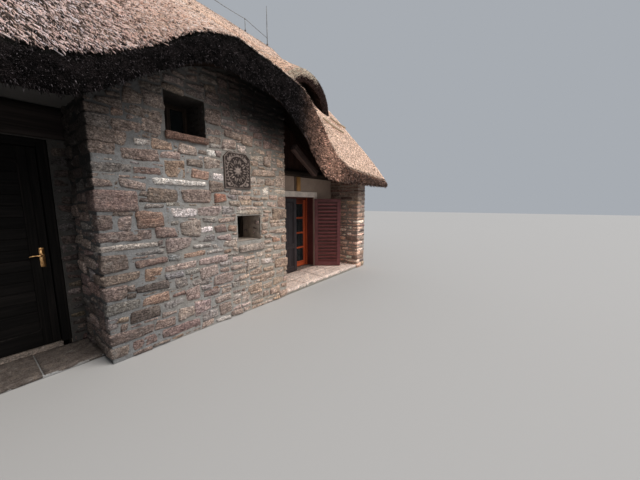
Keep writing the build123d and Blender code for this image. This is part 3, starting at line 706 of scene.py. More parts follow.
# ---------------------------------------------------------------------------
# stone faces
# ---------------------------------------------------------------------------
class Path:
    """A run of wall faces in plan, with eased corners; walls stand on the
    left of the direction of travel, so the face looks to the right."""

    def __init__(self, pts, radius=0.03, ease=0.12):
        self.p = np.array(pts, float)
        d = np.diff(self.p, axis=0)
        self.len = np.linalg.norm(d, axis=1)
        self.dir = d / self.len[:, None]
        self.nor = np.stack([self.dir[:, 1], -self.dir[:, 0]], 1)
        self.s = np.concatenate([[0], np.cumsum(self.len)])
        self.r = radius
        self.ease = ease

    def at(self, u):
        """(points, normals) in plan at the distances u."""
        u = np.asarray(u, float)
        k = np.clip(np.searchsorted(self.s, u, side="right") - 1, 0, len(self.len) - 1)
        pos = self.p[k] + self.dir[k] * (u - self.s[k])[..., None]
        nor = self.nor[k].copy()
        for c in range(1, len(self.p) - 1):
            t = (u - self.s[c]) / self.r
            near = np.abs(t) < 1
            turn = self.dir[c - 1][0] * self.dir[c][1] - self.dir[c - 1][1] * self.dir[c][0]
            if turn < 0:
                continue          # inner corner: faces meet square
            w = np.clip((t + 1) / 2, 0, 1)[..., None]
            n2 = self.nor[c - 1] * (1 - w) + self.nor[c] * w
            n2 = n2 / np.maximum(np.linalg.norm(n2, axis=-1, keepdims=True), 1e-9)
            # ease the corner back a little
            back = (1 - np.abs(t)) ** 2 * self.r * self.ease
            pos = np.where(near[..., None], pos - n2 * back[..., None], pos)
            nor = np.where(near[..., None], n2, nor)
        return pos, nor


def stones_to(b, path, stones, seed, fine=1.0, base_prot=0.013, zlimit=None, cover=None, rough=1.0, corners=(), lean=False):
    """stones: rows (u0, u1, z0, z1, r, g, b, protrusion)."""
    S = np.array(stones, float)
    r = rng(seed)
    w, h = S[:, 1] - S[:, 0], S[:, 3] - S[:, 2]
    cls_u = np.clip(np.round(w * fine / 0.026).astype(int), 3, 16)
    cls_v = np.clip(np.round(h * fine / 0.026).astype(int), 2, 8)
    cls_u = (cls_u + 1) // 2 * 2
    for cu in np.unique(cls_u):
        for cv in np.unique(cls_v):
            sel = (cls_u == cu) & (cls_v == cv)
            if not sel.any():
                continue
            T = S[sel]
            k = len(T)
            W, H = T[:, 1] - T[:, 0], T[:, 3] - T[:, 2]

            def rings(size, n):
                e1 = np.minimum(0.006, size * 0.08)
                e2 = np.minimum(0.013 if lean else 0.018, size * 0.22)
                inner = e2[:, None] + (size - 2 * e2)[:, None] * np.linspace(0, 1, n)[None, :]
                if lean:
                    return np.concatenate([np.zeros((len(size), 1)), inner, size[:, None]], 1)
                return np.concatenate([
                    np.zeros((len(size), 1)), e1[:, None], inner, (size - e1)[:, None], size[:, None]], 1)

            A, C = rings(W, cu), rings(H, cv)
            nu, nv = A.shape[1], C.shape[1]
            a = np.repeat(A[:, :, None], nv, 2)
            c = np.repeat(C[:, None, :], nu, 1)
            Wb, Hb = W[:, None, None], H[:, None, None]
            p, q = 2 * a / Wb - 1, 2 * c / Hb - 1
            # distance from the edge, in metres
            e = np.minimum(np.minimum(a, Wb - a), np.minimum(c, Hb - c))
            # shifted corners
            jit = r.normal(0, 1, (k, 4, 2)) * np.minimum(0.16 * H, 0.014)[:, None, None]
            fa, fc = a / Wb, c / Hb
            off = 0
            for i, wgt in enumerate(((1 - fa) * (1 - fc), fa * (1 - fc), fa * fc, (1 - fa) * fc)):
                off = off + wgt[..., None] * jit[:, i][:, None, None, :]
            kr = r.uniform(0.10, 0.42, k)[:, None, None]
            x = p * np.sqrt(1 - kr * q ** 4 / 2) * Wb / 2
            z = q * np.sqrt(1 - kr * p ** 4 / 2) * Hb / 2
            # a long stone tapers and tilts
            z = z * (1 + r.normal(0, 0.09, k)[:, None, None] * p)
            u = (T[:, 0] + T[:, 1])[:, None, None] / 2 + x + off[..., 0]
            zz = (T[:, 2] + T[:, 3])[:, None, None] / 2 + z + off[..., 1]
            pt = np.stack([u * 16, zz * 16, np.full_like(u, seed * 3.1)], -1)
            rim = 1 - smoothstep(0, 0.05, e)
            u = u + rim * 0.012 * fbm(pt * 1.5, seed + 1, 3)
            zz = zz + rim * 0.010 * fbm(pt * 1.5, seed + 2, 3)
            prot = T[:, 7][:, None, None] * base_prot
            prof = np.sqrt(np.clip(smoothstep(0, 1, e / 0.020), 0, 1))
            ids = (np.arange(k) * 7.77)[:, None, None]
            fine_p = np.stack([u * 30 + ids, zz * 46, ids + 0 * u], -1)
            mid_p = np.stack([u * 9 + ids, zz * 15, ids + 0 * u], -1)
            d = -0.010 + (0.010 + prot) * prof
            d = d + prof * rough * (0.0100 * fbm(mid_p, seed + 5, 2) + 0.0085 * fbm(fine_p, seed + 7, 3))
            d = d + prof * (r.normal(0, 0.0035, k)[:, None, None] * q + r.normal(0, 0.003, k)[:, None, None] * p)
            for cu_, sg_ in corners:
                for m_ in np.nonzero((T[:, 0] < cu_ - 0.01) & (T[:, 1] > cu_ + 0.01))[0]:
                    i_ = int(np.clip(np.argmin(np.abs(u[m_].mean(1) - cu_)), 1, nu - 3))
                    u[m_, :i_] = np.minimum(u[m_, :i_], cu_ - 0.006)
                    u[m_, i_ + 2:] = np.maximum(u[m_, i_ + 2:], cu_ + 0.006)
                    u[m_, i_], u[m_, i_ + 1] = cu_ - 0.003, cu_ + 0.003
                if sg_ == 0:
                    continue
                over = ((T[:, 0] < cu_) & (T[:, 1] > cu_))[:, None, None]
                push = np.where(r.random(k) < 0.10, r.uniform(0.010, 0.022, k), r.uniform(-0.002, 0.006, k))[:, None, None] * over
                beside = np.where((u - cu_) * sg_ > 0, smoothstep(0.26, 0.05, np.abs(u - cu_)), 0.25 * smoothstep(0.10, 0.02, np.abs(u - cu_)))
                d = d + push * beside * (0.3 + 0.7 * prof)
            pos, nor = path.at(u)
            P = np.empty(u.shape + (3,))
            P[..., 0] = pos[..., 0] + nor[..., 0] * d
            P[..., 1] = pos[..., 1] + nor[..., 1] * d
            P[..., 2] = np.maximum(zz, 0.0)
            if zlimit is not None:
                P[..., 2] = np.minimum(P[..., 2], zlimit)
            q0 = grid_quads(nu, nv)
            quads = (q0[None] + (np.arange(k) * nu * nv)[:, None, None]).reshape(-1, 4)
            col = np.repeat(T[:, 4:7][:, None, :], nu * nv, 1).reshape(-1, 3)
            shade = 1 + 0.10 * fbm(mid_p, seed + 9, 2).reshape(-1, 1)
            # painted shadow below and painted shade beside each stone, a painted highlight along the upper edge
            low = np.exp(-(c / 0.012)) * (1 - 0.25 * r.random(k))[:, None, None]
            side = np.exp(-(np.minimum(a, Wb - a) / 0.008))
            upper = np.exp(-(((Hb - c) - 0.016) / 0.010) ** 2)
            edge = (1 - 0.72 * low) * (1 - 0.42 * side) * (1 + 0.26 * upper)
            # relief: the colour is lightened where the face bulges out and darkened in its hollows, as painted light
            # and shade
            relief = 1 + 9.0 * (d - (-0.010 + (0.010 + prot) * prof))
            col = col * shade * edge.reshape(-1, 1) * np.clip(relief, 0.6, 1.35).reshape(-1, 1)
            if cover is not None:
                # the third value of cover is a darkness factor that is painted shade; the first two are grime or lime
                # patches and their colour
                cv, cc, painted_shade_k = cover(u.reshape(-1), zz.reshape(-1))
                patch = np.clip(cv + 0.30 * fbm(mid_p, seed + 13, 2).reshape(-1), 0, 0.92)[:, None]
                col = (col * (1 - patch) + cc * patch) * painted_shade_k[:, None]
            b.add(P, quads=quads, tint=col)


def srgb(r, g, b):
    c = np.array([r, g, b], float) / 255
    return np.where(c <= 0.04045, c / 12.92, ((c + 0.055) / 1.055) ** 2.4)


# named stone colours
TONES = {
    "brown": srgb(134, 116, 104), "redtan": srgb(146, 122, 112), "tan": srgb(152, 134, 121),
    "pink": srgb(156, 136, 127), "orange": srgb(154, 126, 104), "brick": srgb(146, 104, 84),
    "grey": srgb(136, 130, 124), "lgrey": srgb(156, 151, 145), "blue": srgb(138, 139, 141),
    "white": srgb(206, 199, 192), "cream": srgb(178, 166, 156), "dark": srgb(104, 90, 84),
    "redbrown": srgb(136, 108, 98), "yellow": srgb(158, 142, 116),
}
MIX_BAY = ["brown"] * 5 + ["tan"] * 4 + ["pink"] * 3 + ["grey"] * 4 + ["redtan"] * 3 + ["lgrey"] * 2 + ["dark"] * 2 + ["orange"] * 2 + ["redbrown"] * 2 + ["yellow"] + ["cream"]


SOOT = srgb(112, 104, 99)
LIME_WARM = srgb(160, 143, 127)


def grime_and_painted_shade(x, z):
    """(how far a face is covered with grime or lime, with what colour, and its darkness, which is painted shade: under
    the thatch's overhang, towards the bay's left corner and on the return).
    """
    x, z = np.asarray(x, float), np.asarray(z, float)
    wob = 0.10 * noise3(np.stack([x * 1.7, z * 1.7, 0 * x], -1), 801)
    line = np.interp(x, [-1, 0.0, 0.7, 1.3, 2.0, 2.81, 3.8], [2.30, 2.38, 2.46, 2.62, 2.78, 2.66, 2.5]) + wob
    up = smoothstep(-0.08, 0.14, z - line)
    right = smoothstep(1.35, 2.0, x + 0.6 * wob) * (1 - up)
    cover = np.clip(0.16 + 0.58 * up + 0.34 * right, 0, 1)
    colour = (SOOT * up[..., None] * (1 - smoothstep(0.9, 2.1, x)[..., None] * np.array([0.0, 0.20, 0.24])) + LIME_WARM * right[..., None] + srgb(140, 134, 128) * np.clip(1 - up - right, 0, 1)[..., None])
    # dark is painted shade: strong under the thatch's overhang, strongest over the bay's right part, and lighter from
    # the bay's left corner towards the right
    dark = (1 - (0.24 + 0.69 * smoothstep(0.9, 2.1, x)) * smoothstep(-0.1, 0.70 - 0.16 * smoothstep(0.9, 2.1, x), z - line)) * (0.585 + 0.315 * smoothstep(-0.1, 1.2, x) + 0.12 * smoothstep(1.3, 2.2, x)) * (1 + 0.14 * up)
    # the return beside the entrance: painted deep shade above, painted lighter below where it is open
    dark = np.where(x < -0.001, dark * (1.22 - 0.98 * smoothstep(1.55, 2.15, z)), dark)
    # the dark term above paints the eyebrow's shade, darkest towards the bay's right corner
    return cover, colour, dark


def stone_row(u0, u1, z0, z1, tone, r, prot=None):
    c = TONES[tone]
    g = float(c @ [0.3, 0.5, 0.2])
    c = (g + (c - g) * {"brick": 0.86, "orange": 0.74, "yellow": 0.74}.get(tone, 0.64)) * r.uniform(0.80, 1.16) * (1 + r.normal(0, 0.02, 3))
    c = c * np.array([1.0, 0.995, 1.045])
    return (u0, u1, z0, z1, *np.clip(c, 0.01, 0.9), r.uniform(0.5, 1.7) if prot is None else prot)


def fill_gaps(taken, u_base, z_base, step, tones, r, tries, joint=0.012):
    """Fills the free cells of a raster with stones of sizes given in tries:
    rows (least width, least height, most width, most height)."""
    out = []
    nu, nz = taken.shape
    for wmin, hmin, wmax, hmax in tries:
        a, c, A, C = (max(1, int(round(v / step))) for v in (wmin, hmin, wmax, hmax))
        for j in range(0, nz - c):
            i = 0
            while i < nu - a:
                if taken[i, j]:
                    i += 1
                    continue
                lim_h = int(r.integers(max(c, int(C * 0.55)), C + 1))
                lim_w = int(r.integers(max(a, int(A * 0.5)), A + 1))
                # grow to the right along the bottom row, then up
                free = taken[i:min(nu, i + lim_w), j]
                w = int(np.argmax(free)) if free.any() else len(free)
                if w < a:
                    i += max(w, 1)
                    continue
                block = taken[i:i + w, j:min(nz, j + lim_h)]
                bad = block.any(axis=0)
                h = int(np.argmax(bad)) if bad.any() else block.shape[1]
                if h < c:
                    # a narrower stone may stand taller
                    ok = False
                    for w2 in range(w, a - 1, -1):
                        bad = taken[i:i + w2, j:min(nz, j + lim_h)].any(axis=0)
                        h = int(np.argmax(bad)) if bad.any() else min(nz, j + lim_h) - j
                        if h >= c:
                            w, ok = w2, True
                            break
                    if not ok:
                        i += 1
                        continue
                taken[i:i + w, j:j + h] = True
                u0, z0 = u_base + i * step, z_base + j * step
                g = joint / 2
                out.append(stone_row(u0 + g, u0 + w * step - g, z0 + g, z0 + h * step - g, tones[int(r.integers(len(tones)))], r))
                i += w
    return out


# stones of the bay's front that can be told apart: corner X and Z of
# the view, then (x0, x1, y0, y1, tone) in parts of 550 to the metre
BAY_LISTS = [
    (0.0, 2.0, [
        (0, 210, 28, 150, "redtan"), (275, 460, 8, 95, "brown"), (490, 722, 10, 105, "brown"), (745, 860, 28, 100, "brick"),
        (245, 365, 115, 140, "lgrey"), (410, 590, 135, 208, "white"), (612, 795, 130, 200, "pink"), (0, 62, 170, 268, "brown"),
        (88, 165, 195, 268, "pink"), (195, 368, 160, 262, "orange"), (400, 455, 230, 255, "grey"), (462, 618, 240, 335, "tan"),
        (640, 755, 215, 258, "grey"), (635, 708, 285, 330, "white"), (728, 835, 280, 332, "redbrown"), (0, 280, 290, 345, "brown"),
        (0, 300, 350, 395, "cream"), (305, 432, 280, 338, "brown"), (305, 340, 365, 390, "dark"), (365, 540, 355, 440, "pink"),
        (545, 728, 358, 405, "grey"), (752, 880, 358, 408, "pink"), (160, 340, 415, 442, "grey"), (0, 135, 420, 520, "brown"),
        (170, 360, 475, 520, "redbrown"), (370, 450, 465, 505, "blue"), (480, 640, 465, 510, "orange"), (545, 690, 415, 445, "lgrey"),
        (700, 790, 430, 470, "grey"), (650, 800, 480, 505, "lgrey"), (0, 185, 540, 610, "brown"), (218, 322, 545, 628, "orange"),
        (345, 560, 540, 590, "tan"), (590, 830, 525, 580, "pink"), (335, 460, 605, 640, "blue"), (480, 570, 600, 635, "grey"),
        (590, 750, 605, 680, "pink"), (0, 95, 628, 700, "brown"), (160, 345, 650, 695, "dark"), (405, 500, 655, 720, "grey"),
        (540, 590, 655, 670, "dark"), (535, 660, 690, 730, "grey"), (700, 880, 690, 770, "tan"), (0, 175, 720, 790, "grey"),
        (185, 355, 725, 775, "orange"), (375, 462, 748, 780, "redbrown"), (485, 582, 750, 850, "redtan"), (590, 680, 745, 780, "grey"),
        (108, 288, 803, 880, "dark"), (0, 40, 810, 880, "grey"), (320, 450, 800, 850, "grey"), (612, 748, 810, 848, "brown"),
        (765, 860, 820, 870, "tan"), (275, 395, 875, 905, "brown"), (0, 235, 915, 985, "brown"), (245, 380, 915, 980, "brown"),
        (415, 520, 875, 965, "tan"), (530, 670, 880, 960, "pink"), (700, 850, 880, 930, "tan"), (108, 250, 985, 1060, "brown"),
        (0, 90, 1010, 1080, "brown"), (285, 570, 985, 1060, "redbrown"), (590, 718, 970, 1045, "grey"), (740, 860, 945, 1035, "redtan"),
    ]),
    (0.0, 3.5, [
        (120, 265, 785, 850, "pink"), (0, 80, 790, 840, "brown"), (300, 690, 765, 812, "white"), (700, 830, 770, 830, "brown"),
        (195, 355, 700, 752, "redbrown"), (0, 190, 690, 750, "grey"), (385, 528, 640, 748, "orange"), (568, 705, 683, 742, "orange"),
        (745, 825, 695, 750, "white"), (140, 350, 590, 665, "brown"), (0, 115, 590, 660, "brown"), (365, 500, 590, 625, "tan"),
        (530, 665, 610, 660, "brown"), (680, 810, 580, 660, "tan"), (215, 300, 530, 562, "white"), (318, 450, 513, 575, "orange"),
        (490, 625, 520, 590, "tan"), (630, 700, 530, 575, "brown"), (705, 770, 525, 580, "white"), (775, 830, 520, 570, "tan"),
        (0, 180, 510, 570, "brown"), (115, 255, 435, 505, "brown"), (0, 110, 440, 500, "grey"), (255, 385, 400, 480, "tan"),
        (195, 400, 330, 398, "brown"), (290, 400, 225, 310, "pink"), (180, 285, 240, 325, "tan"), (710, 830, 205, 330, "tan"),
        (705, 825, 350, 400, "grey"), (720, 830, 410, 470, "brown"),
    ]),
    (1.3, 3.5, [
        (0, 130, 345, 400, "tan"), (150, 290, 350, 400, "brown"), (330, 430, 345, 420, "tan"), (435, 530, 365, 420, "grey"),
        (555, 640, 350, 430, "pink"), (660, 800, 370, 420, "tan"), (325, 385, 280, 305, "white"), (0, 90, 430, 480, "brown"),
        (110, 250, 420, 485, "tan"), (270, 430, 440, 495, "lgrey"), (470, 580, 425, 485, "tan"), (590, 660, 425, 490, "brown"),
        (680, 810, 430, 485, "orange"), (400, 540, 500, 545, "lgrey"), (555, 650, 505, 585, "brown"), (720, 805, 505, 580, "orange"),
        (400, 480, 560, 600, "tan"), (485, 600, 560, 610, "tan"), (420, 690, 620, 680, "tan"), (395, 450, 700, 745, "lgrey"),
        (460, 560, 705, 750, "grey"), (580, 695, 720, 760, "dark"), (705, 820, 660, 770, "pink"), (425, 520, 790, 860, "tan"),
        (535, 610, 785, 850, "white"), (665, 820, 795, 840, "cream"), (175, 290, 815, 850, "tan"), (140, 240, 870, 905, "grey"),
        (255, 380, 865, 905, "tan"), (390, 500, 875, 910, "dark"), (520, 600, 870, 900, "tan"), (280, 400, 915, 950, "yellow"),
        (150, 270, 920, 950, "tan"), (420, 530, 920, 950, "tan"), (590, 720, 915, 970, "pink"), (730, 820, 870, 970, "redbrown"),
    ]),
    (1.3, 2.0, [
        (0, 80, 130, 195, "pink"), (85, 220, 130, 185, "grey"), (225, 590, 125, 160, "lgrey"), (235, 520, 170, 205, "lgrey"),
        (540, 635, 160, 200, "brown"), (660, 820, 165, 265, "dark"), (520, 600, 235, 275, "redbrown"), (60, 215, 225, 265, "tan"),
        (15, 120, 285, 335, "redbrown"), (155, 225, 290, 335, "orange"), (40, 215, 362, 410, "pink"), (510, 580, 290, 350, "grey"),
        (610, 750, 270, 300, "tan"), (620, 820, 300, 345, "pink"), (510, 580, 365, 400, "redbrown"), (690, 820, 370, 420, "pink"),
        (0, 90, 430, 470, "tan"), (100, 230, 425, 470, "tan"), (80, 165, 490, 520, "orange"), (640, 745, 450, 490, "brick"),
        (770, 820, 440, 500, "redbrown"), (430, 530, 560, 605, "lgrey"), (655, 820, 520, 585, "tan"), (330, 465, 620, 705, "grey"),
        (490, 625, 640, 695, "white"), (760, 820, 600, 660, "brown"), (680, 820, 670, 760, "redbrown"), (150, 300, 690, 730, "tan"),
        (0, 130, 700, 790, "tan"), (355, 500, 730, 775, "tan"), (520, 650, 720, 770, "brown"), (150, 230, 790, 850, "grey"),
        (240, 310, 800, 850, "tan"), (360, 470, 790, 825, "brown"), (480, 660, 790, 840, "tan"), (690, 780, 780, 830, "tan"),
        (330, 490, 860, 920, "brown"), (500, 610, 880, 950, "tan"), (640, 780, 860, 930, "brown"), (30, 145, 945, 1035, "redtan"),
        (160, 240, 960, 1000, "tan"), (360, 500, 970, 1020, "grey"), (510, 580, 960, 1020, "brown"), (600, 725, 960, 1015, "brown"),
        (750, 820, 945, 1000, "redbrown"), (730, 820, 1020, 1080, "redtan"),
    ]),
]

UW = (0.75, 1.28, 2.69, 3.17)
LW = (1.74, 2.20, 1.20, 1.61)
PLAQUE = (1.53, 2.00, 2.03, 2.57)


def bay_stones():
    r = rng(11)
    step = 0.01
    U0, U1, Z1 = -0.90, 3.71, 3.72          # distance along the path, bay front is 0..2.81
    nu, nz = int(round((U1 - U0) / step)), int(round(Z1 / step))
    taken = np.zeros((nu, nz), bool)

    def mark(u0, u1, z0, z1, m=0.0):
        a, c = int(round((u0 - m - U0) / step)), int(round((u1 + m - U0) / step))
        e, f = int(round((z0 - m) / step)), int(round((z1 + m) / step))
        taken[max(a, 0):max(c, 0), max(e, 0):max(f, 0)] = True

    # openings, plaque and sills
    mark(*UW, 0.0)
    mark(*LW, 0.0)
    mark(*PLAQUE, 0.004)
    mark(UW[0] - 0.01, UW[1] + 0.01, UW[2] - 0.09, UW[2], 0.006)
    mark(LW[0] + 0.01, LW[1] + 0.06, LW[2] - 0.18, LW[2], 0.006)
    # nothing above the thatch's underside
    for i in range(nu):
        u = U0 + (i + 0.5) * step
        x = min(max(u, 0.0), 2.81)
        y = max(0.0, -u, u - 2.81)
        top = float(under_z(np.array(x), np.array(min(y, 0.9)))) - 0.004
        taken[i, max(0, int(top / step)):] = True
    out = []
    blocked = taken.copy()
    for X0, Z0, rows in BAY_LISTS:
        for x0, x1, y0, y1, tone in rows:
            u0, u1 = X0 + x0 / 550, X0 + x1 / 550
            z1, z0 = Z0 - y0 / 550, Z0 - y1 / 550
            if u0 <= 0.012:
                u0 = -r.uniform(0.09, 0.16) if len(out) % 2 else -r.uniform(0.24, 0.38)
            if u1 >= 2.77:
                u1 = 2.81 + (r.uniform(0.09, 0.15) if len(out) % 2 else r.uniform(0.22, 0.34))
            # as seen, plus what the mortar covers
            u0, u1, z0, z1 = u0 - 0.012, u1 + 0.012, z0 - 0.009, z1 + 0.009
            z0 = max(z0, 0.0)
            if z1 - z0 < 0.02:
                continue
            a, c = int(round((u0 - U0) / step)), int(round((u1 - U0) / step))
            e, f = int(round(z0 / step)), int(round(z1 / step))
            block = taken[a:c, e:f]
            if block.size == 0 or block.mean() > 0.25:
                continue
            if block.any():
                # trim against what is there already
                while c - a > 4 and taken[a, e:f].mean() > 0.3:
                    a += 1
                while c - a > 4 and taken[c - 1, e:f].mean() > 0.3:
                    c -= 1
                while f - e > 3 and taken[a:c, e].mean() > 0.3:
                    e += 1
                while f - e > 3 and taken[a:c, f - 1].mean() > 0.3:
                    f -= 1
                u0, u1 = U0 + a * step, U0 + c * step
                z0, z1 = e * step, f * step
            if blocked[a:c, e:f].mean() > 0.04:
                continue
            out.append(stone_row(u0, u1, z0, z1, tone, r))
            mark(u0, u1, z0, z1, 0.0)
    # large blocks on the return beside the entrance
    zone = taken.copy()
    zone[int((-0.05 - U0) / step):, :] = True
    before = zone.copy()
    side_ = fill_gaps(zone, U0, 0.0, step, ["brown", "redtan", "grey", "tan", "dark"], r, [(0.20, 0.09, 0.46, 0.17), (0.12, 0.06, 0.34, 0.12)], joint=0.010)
    out += [(*s_[:4], *(np.array(s_[4:7]) * r.uniform(0.55, 1.55)), s_[7]) for s_ in side_]
    taken |= zone & ~before
    # large blocks above, left of the upper window
    zone = taken.copy()
    zi, ui = int(2.34 / step), int((0.74 - U0) / step)
    zone[:, :zi] = True
    zone[ui:, :] = True
    before = zone.copy()
    out += fill_gaps(zone, U0, 0.0, step, ["brown", "grey", "grey", "tan", "pink"], r, [(0.17, 0.10, 0.38, 0.20)], joint=0.008)
    taken |= zone & ~before
    # quoins on both corners where the list has none
    for corner in (0.0, 2.81):
        flip = 0
        for j in range(0, nz - 6):
            ic = int(round((corner - U0) / step))
            if taken[ic - 3:ic + 3, j:j + 5].any():
                continue
            h = 5
            while h < 11 and j + h < nz and not taken[ic - 5:ic + 5, j + h].any():
                h += 1
            long_, short = r.uniform(0.24, 0.36), r.uniform(0.10, 0.15)
            a_len, c_len = (long_, short) if flip else (short, long_)
            flip = 1 - flip
            a = ic
            while a > 0 and ic - a < a_len / step and not taken[a - 1, j:j + h].any():
                a -= 1
            c = ic
            while c < nu and c - ic < c_len / step and not taken[c, j:j + h].any():
                c += 1
            if c - a < 6:
                continue
            tone = MIX_BAY[int(r.integers(len(MIX_BAY)))]
            out.append(stone_row(U0 + a * step + 0.004, U0 + c * step - 0.004, j * step + 0.005, (j + h) * step - 0.005, tone, r))
            taken[a:c, j:j + h] = True
    # the rest, from the larger gaps to the small ones
    warm = ["tan"] * 4 + ["pink"] * 3 + ["brown"] * 3 + ["grey"] * 3 + ["redtan"] * 2 + ["lgrey"] * 2 + ["orange", "yellow", "cream", "dark"]
    out += fill_gaps(taken, U0, 0.0, step, warm, r, [(0.14, 0.07, 0.32, 0.13), (0.10, 0.05, 0.26, 0.09), (0.07, 0.04, 0.20, 0.08), (0.05, 0.03, 0.16, 0.06), (0.03, 0.02, 0.10, 0.04)], joint=0.006)
    return out


def course_stones(path_len, z_top, holes, corners, seed, tones, hmin=0.07, hmax=0.14, wmin=0.13, wmax=0.42):
    """Random coursed rubble over u in 0..path_len, up to z_top(u)."""
    r = rng(seed)
    out = []
    z = 0.0
    course = 0
    top_all = float(z_top(np.linspace(0.01, path_len - 0.01, 400)).max())
    while z < top_all:
        h = r.uniform(hmin, hmax)
        # quoins first, long and short in turn
        blocks = []
        for c in corners:
            L, S = r.uniform(0.28, 0.40), r.uniform(0.14, 0.19)
            a, d = (L, S) if course % 2 else (S, L)
            blocks.append((max(0.0, c - a), min(path_len, c + d)))
        edges = [0.0] + [e for bl in blocks for e in bl] + [path_len]
        spans = [(bl[0], bl[1], True) for bl in blocks]
        free = [(edges[2 * i], edges[2 * i + 1]) for i in range(len(blocks) + 1)]
        for f0, f1 in free:
            u = f0
            while u < f1 - 0.03:
                w = r.uniform(wmin, wmax)
                if f1 - u - w < wmin * 0.7:
                    w = f1 - u
                if w > wmax * 1.3:
                    w = w / 2
                spans.append((u, u + w, False))
                u += w
        for u0, u1, quoin in spans:
            wob = 0.018 * noise3(np.array([u0 * 0.7, z * 0.9, seed * 1.1]), seed)
            z0, z1 = z + wob * (z > 0.05), z + h + wob
            parts = [(u0, u1, z0, z1)]
            if not quoin and h > 0.105 and r.random() < 0.28:
                zm = z0 + (z1 - z0) * r.uniform(0.38, 0.62)
                um = u0 + (u1 - u0) * r.uniform(0.35, 0.65)
                parts = [(u0, u1, z0, zm), (u0, um, zm, z1), (um, u1, zm, z1)] if r.random() < 0.5 else [(u0, u1, z0, zm), (u0, u1, zm, z1)]
            for a, c, e, f in parts:
                for hu0, hu1, hz0, hz1 in holes:
                    if a < hu1 and c > hu0 and e < hz1 and f > hz0:
                        # keep the larger of the parts beside the hole
                        cut = [(a, min(c, hu0), e, f), (max(a, hu1), c, e, f), (a, c, e, min(f, hz0)), (a, c, max(e, hz1), f)]
                        cut = [s for s in cut if s[1] - s[0] > 0.05 and s[3] - s[2] > 0.03]
                        if not cut:
                            a = c
                            break
                        a, c, e, f = max(cut, key=lambda s: (s[1] - s[0]) * (s[3] - s[2]))
                if c - a < 0.05:
                    continue
                lim = float(z_top(np.array([a + 0.02, (a + c) / 2, c - 0.02])).min()) - 0.006
                f = min(f, lim)
                if f - e < 0.035:
                    continue
                g = r.uniform(0.007, 0.012)
                out.append(stone_row(a + g, c - g, max(e + g, 0.0), f - g, tones[int(r.integers(len(tones)))], r))
        z += h
        course += 1
    return out


# ---------------------------------------------------------------------------
# the stone walls
# ---------------------------------------------------------------------------
bay_path = Path([(0, 0.9), (0, 0), (2.81, 0), (2.81, 0.9)], radius=0.012)
rows = [(s[0] + 0.9, s[1] + 0.9, *s[2:]) for s in bay_stones()]
b = Build()
stones_to(b, bay_path, rows, 101, fine=1.05, rough=1.15, base_prot=0.018, cover=lambda u, z: grime_and_painted_shade(u - 0.9, z),
          corners=((0.9, -1), (3.71, 1)))
b.make("bay_stones", [M_STONE])

# mortar of the bay, flush with the stones in places, wrapping the corners
b = Build()
gu = np.unique(np.round(np.concatenate([
    np.arange(0.0, 4.611, 0.035), [0.9 + v for v in (UW[0], UW[1], LW[0], LW[1], 0.0, -0.012, 0.012, -0.025, 0.025, 2.81, 2.798, 2.822, 2.785, 2.835)]]), 4))
gz = np.unique(np.round(np.concatenate([np.arange(0.0, 3.73, 0.035), [UW[2], UW[3], LW[2], LW[3]]]), 4))
U, Z = np.meshgrid(gu, gz, indexing="ij")
X = np.clip(U - 0.9, 0.0, 2.81)
Yd = np.maximum(0.0, np.maximum(0.9 - U, U - 3.71))
lim = under_z(X, np.minimum(Yd, 0.9)) - 0.004
Zc = np.minimum(Z, lim)
pos, nor = Path([(0, 0.9), (0, 0), (2.81, 0), (2.81, 0.9)], radius=0.013, ease=0.0).at(U)
corner = np.minimum(np.abs(U - 0.9), np.abs(U - 3.71))
d = 0.0042 + 0.0062 * fbm(np.stack([U * 9, Z * 9, 0 * U + 3.3], -1), 61, 4)
d = np.maximum(d, 0.0032 * smoothstep(0.05, 0.0, corner))
front = (U > 0.9) & (U < 3.71)
edge_in = np.minimum.reduce([
    np.maximum(np.maximum(w[0] - X, X - w[1]), np.maximum(w[2] - Zc, Zc - w[3])) for w in (UW, LW)
])
d = np.where(front, d * smoothstep(0.0, 0.03, edge_in + 1e-6), d) + 0.0008
P = np.stack([pos[..., 0] + nor[..., 0] * d, pos[..., 1] + nor[..., 1] * d, Zc], -1)
q = grid_quads(len(gu), len(gz))
ctr = P.reshape(-1, 3)[q].mean(1)
uc = U.reshape(-1)[q].mean(1)
ext = np.ptp(P.reshape(-1, 3)[q][:, :, 2], axis=1)
keep = ext > 0.001
fr = (uc > 0.9) & (uc < 3.71)
for w in (UW, LW):
    keep &= ~(fr & (ctr[:, 0] > w[0]) & (ctr[:, 0] < w[1]) & (ctr[:, 2] > w[2]) & (ctr[:, 2] < w[3]))
cv, cc, painted_shade_k = grime_and_painted_shade(U - 0.9, Zc)
# the mortar is darkened towards the top as grime together with painted shade under the eave, by the darkness factor as
# painted shade, and on the return by about half more as painted shade
grime_and_eave_shade = np.clip((cv - 0.16) / 0.58, 0, 1) * (Zc > 2.2)
painted_shade_k = np.where(U < 0.899, painted_shade_k * 0.52, painted_shade_k)
tint = (1 - grime_and_eave_shade * 0.42)[..., None] * painted_shade_k[..., None] * np.ones(3)
b.add(P, quads=q[keep], tint=tint.reshape(-1, 3))
b.make("bay_mortar", [M_MORTAR_T])

BACK_TOP_Y = np.array([4.0, 6.7, 7.4, 8.0])
BACK_TOP_Z = np.array([7.24 - 0.5, float(plain(1.3)) - 0.5, 2.90, 2.35])


def head_z(x, y):
    """Underside of the thatch over the gable and rear walls."""
    return np.where(y <= 4.0, under_z(x, np.clip(y, -0.5, 4.0)), np.interp(y, BACK_TOP_Y, BACK_TOP_Z))


outer_path = Path([(5.69, 0.9), (5.69, 0), (6.09, 0), (6.09, 8), (-3.28, 8), (-3.28, 0), (-2.88, 0), (-2.88, 0.9)])
corner_u = list(outer_path.s[1:-1])


def outer_top(u):
    pos, _ = outer_path.at(np.asarray(u, float))
    return head_z(pos[..., 0], pos[..., 1])


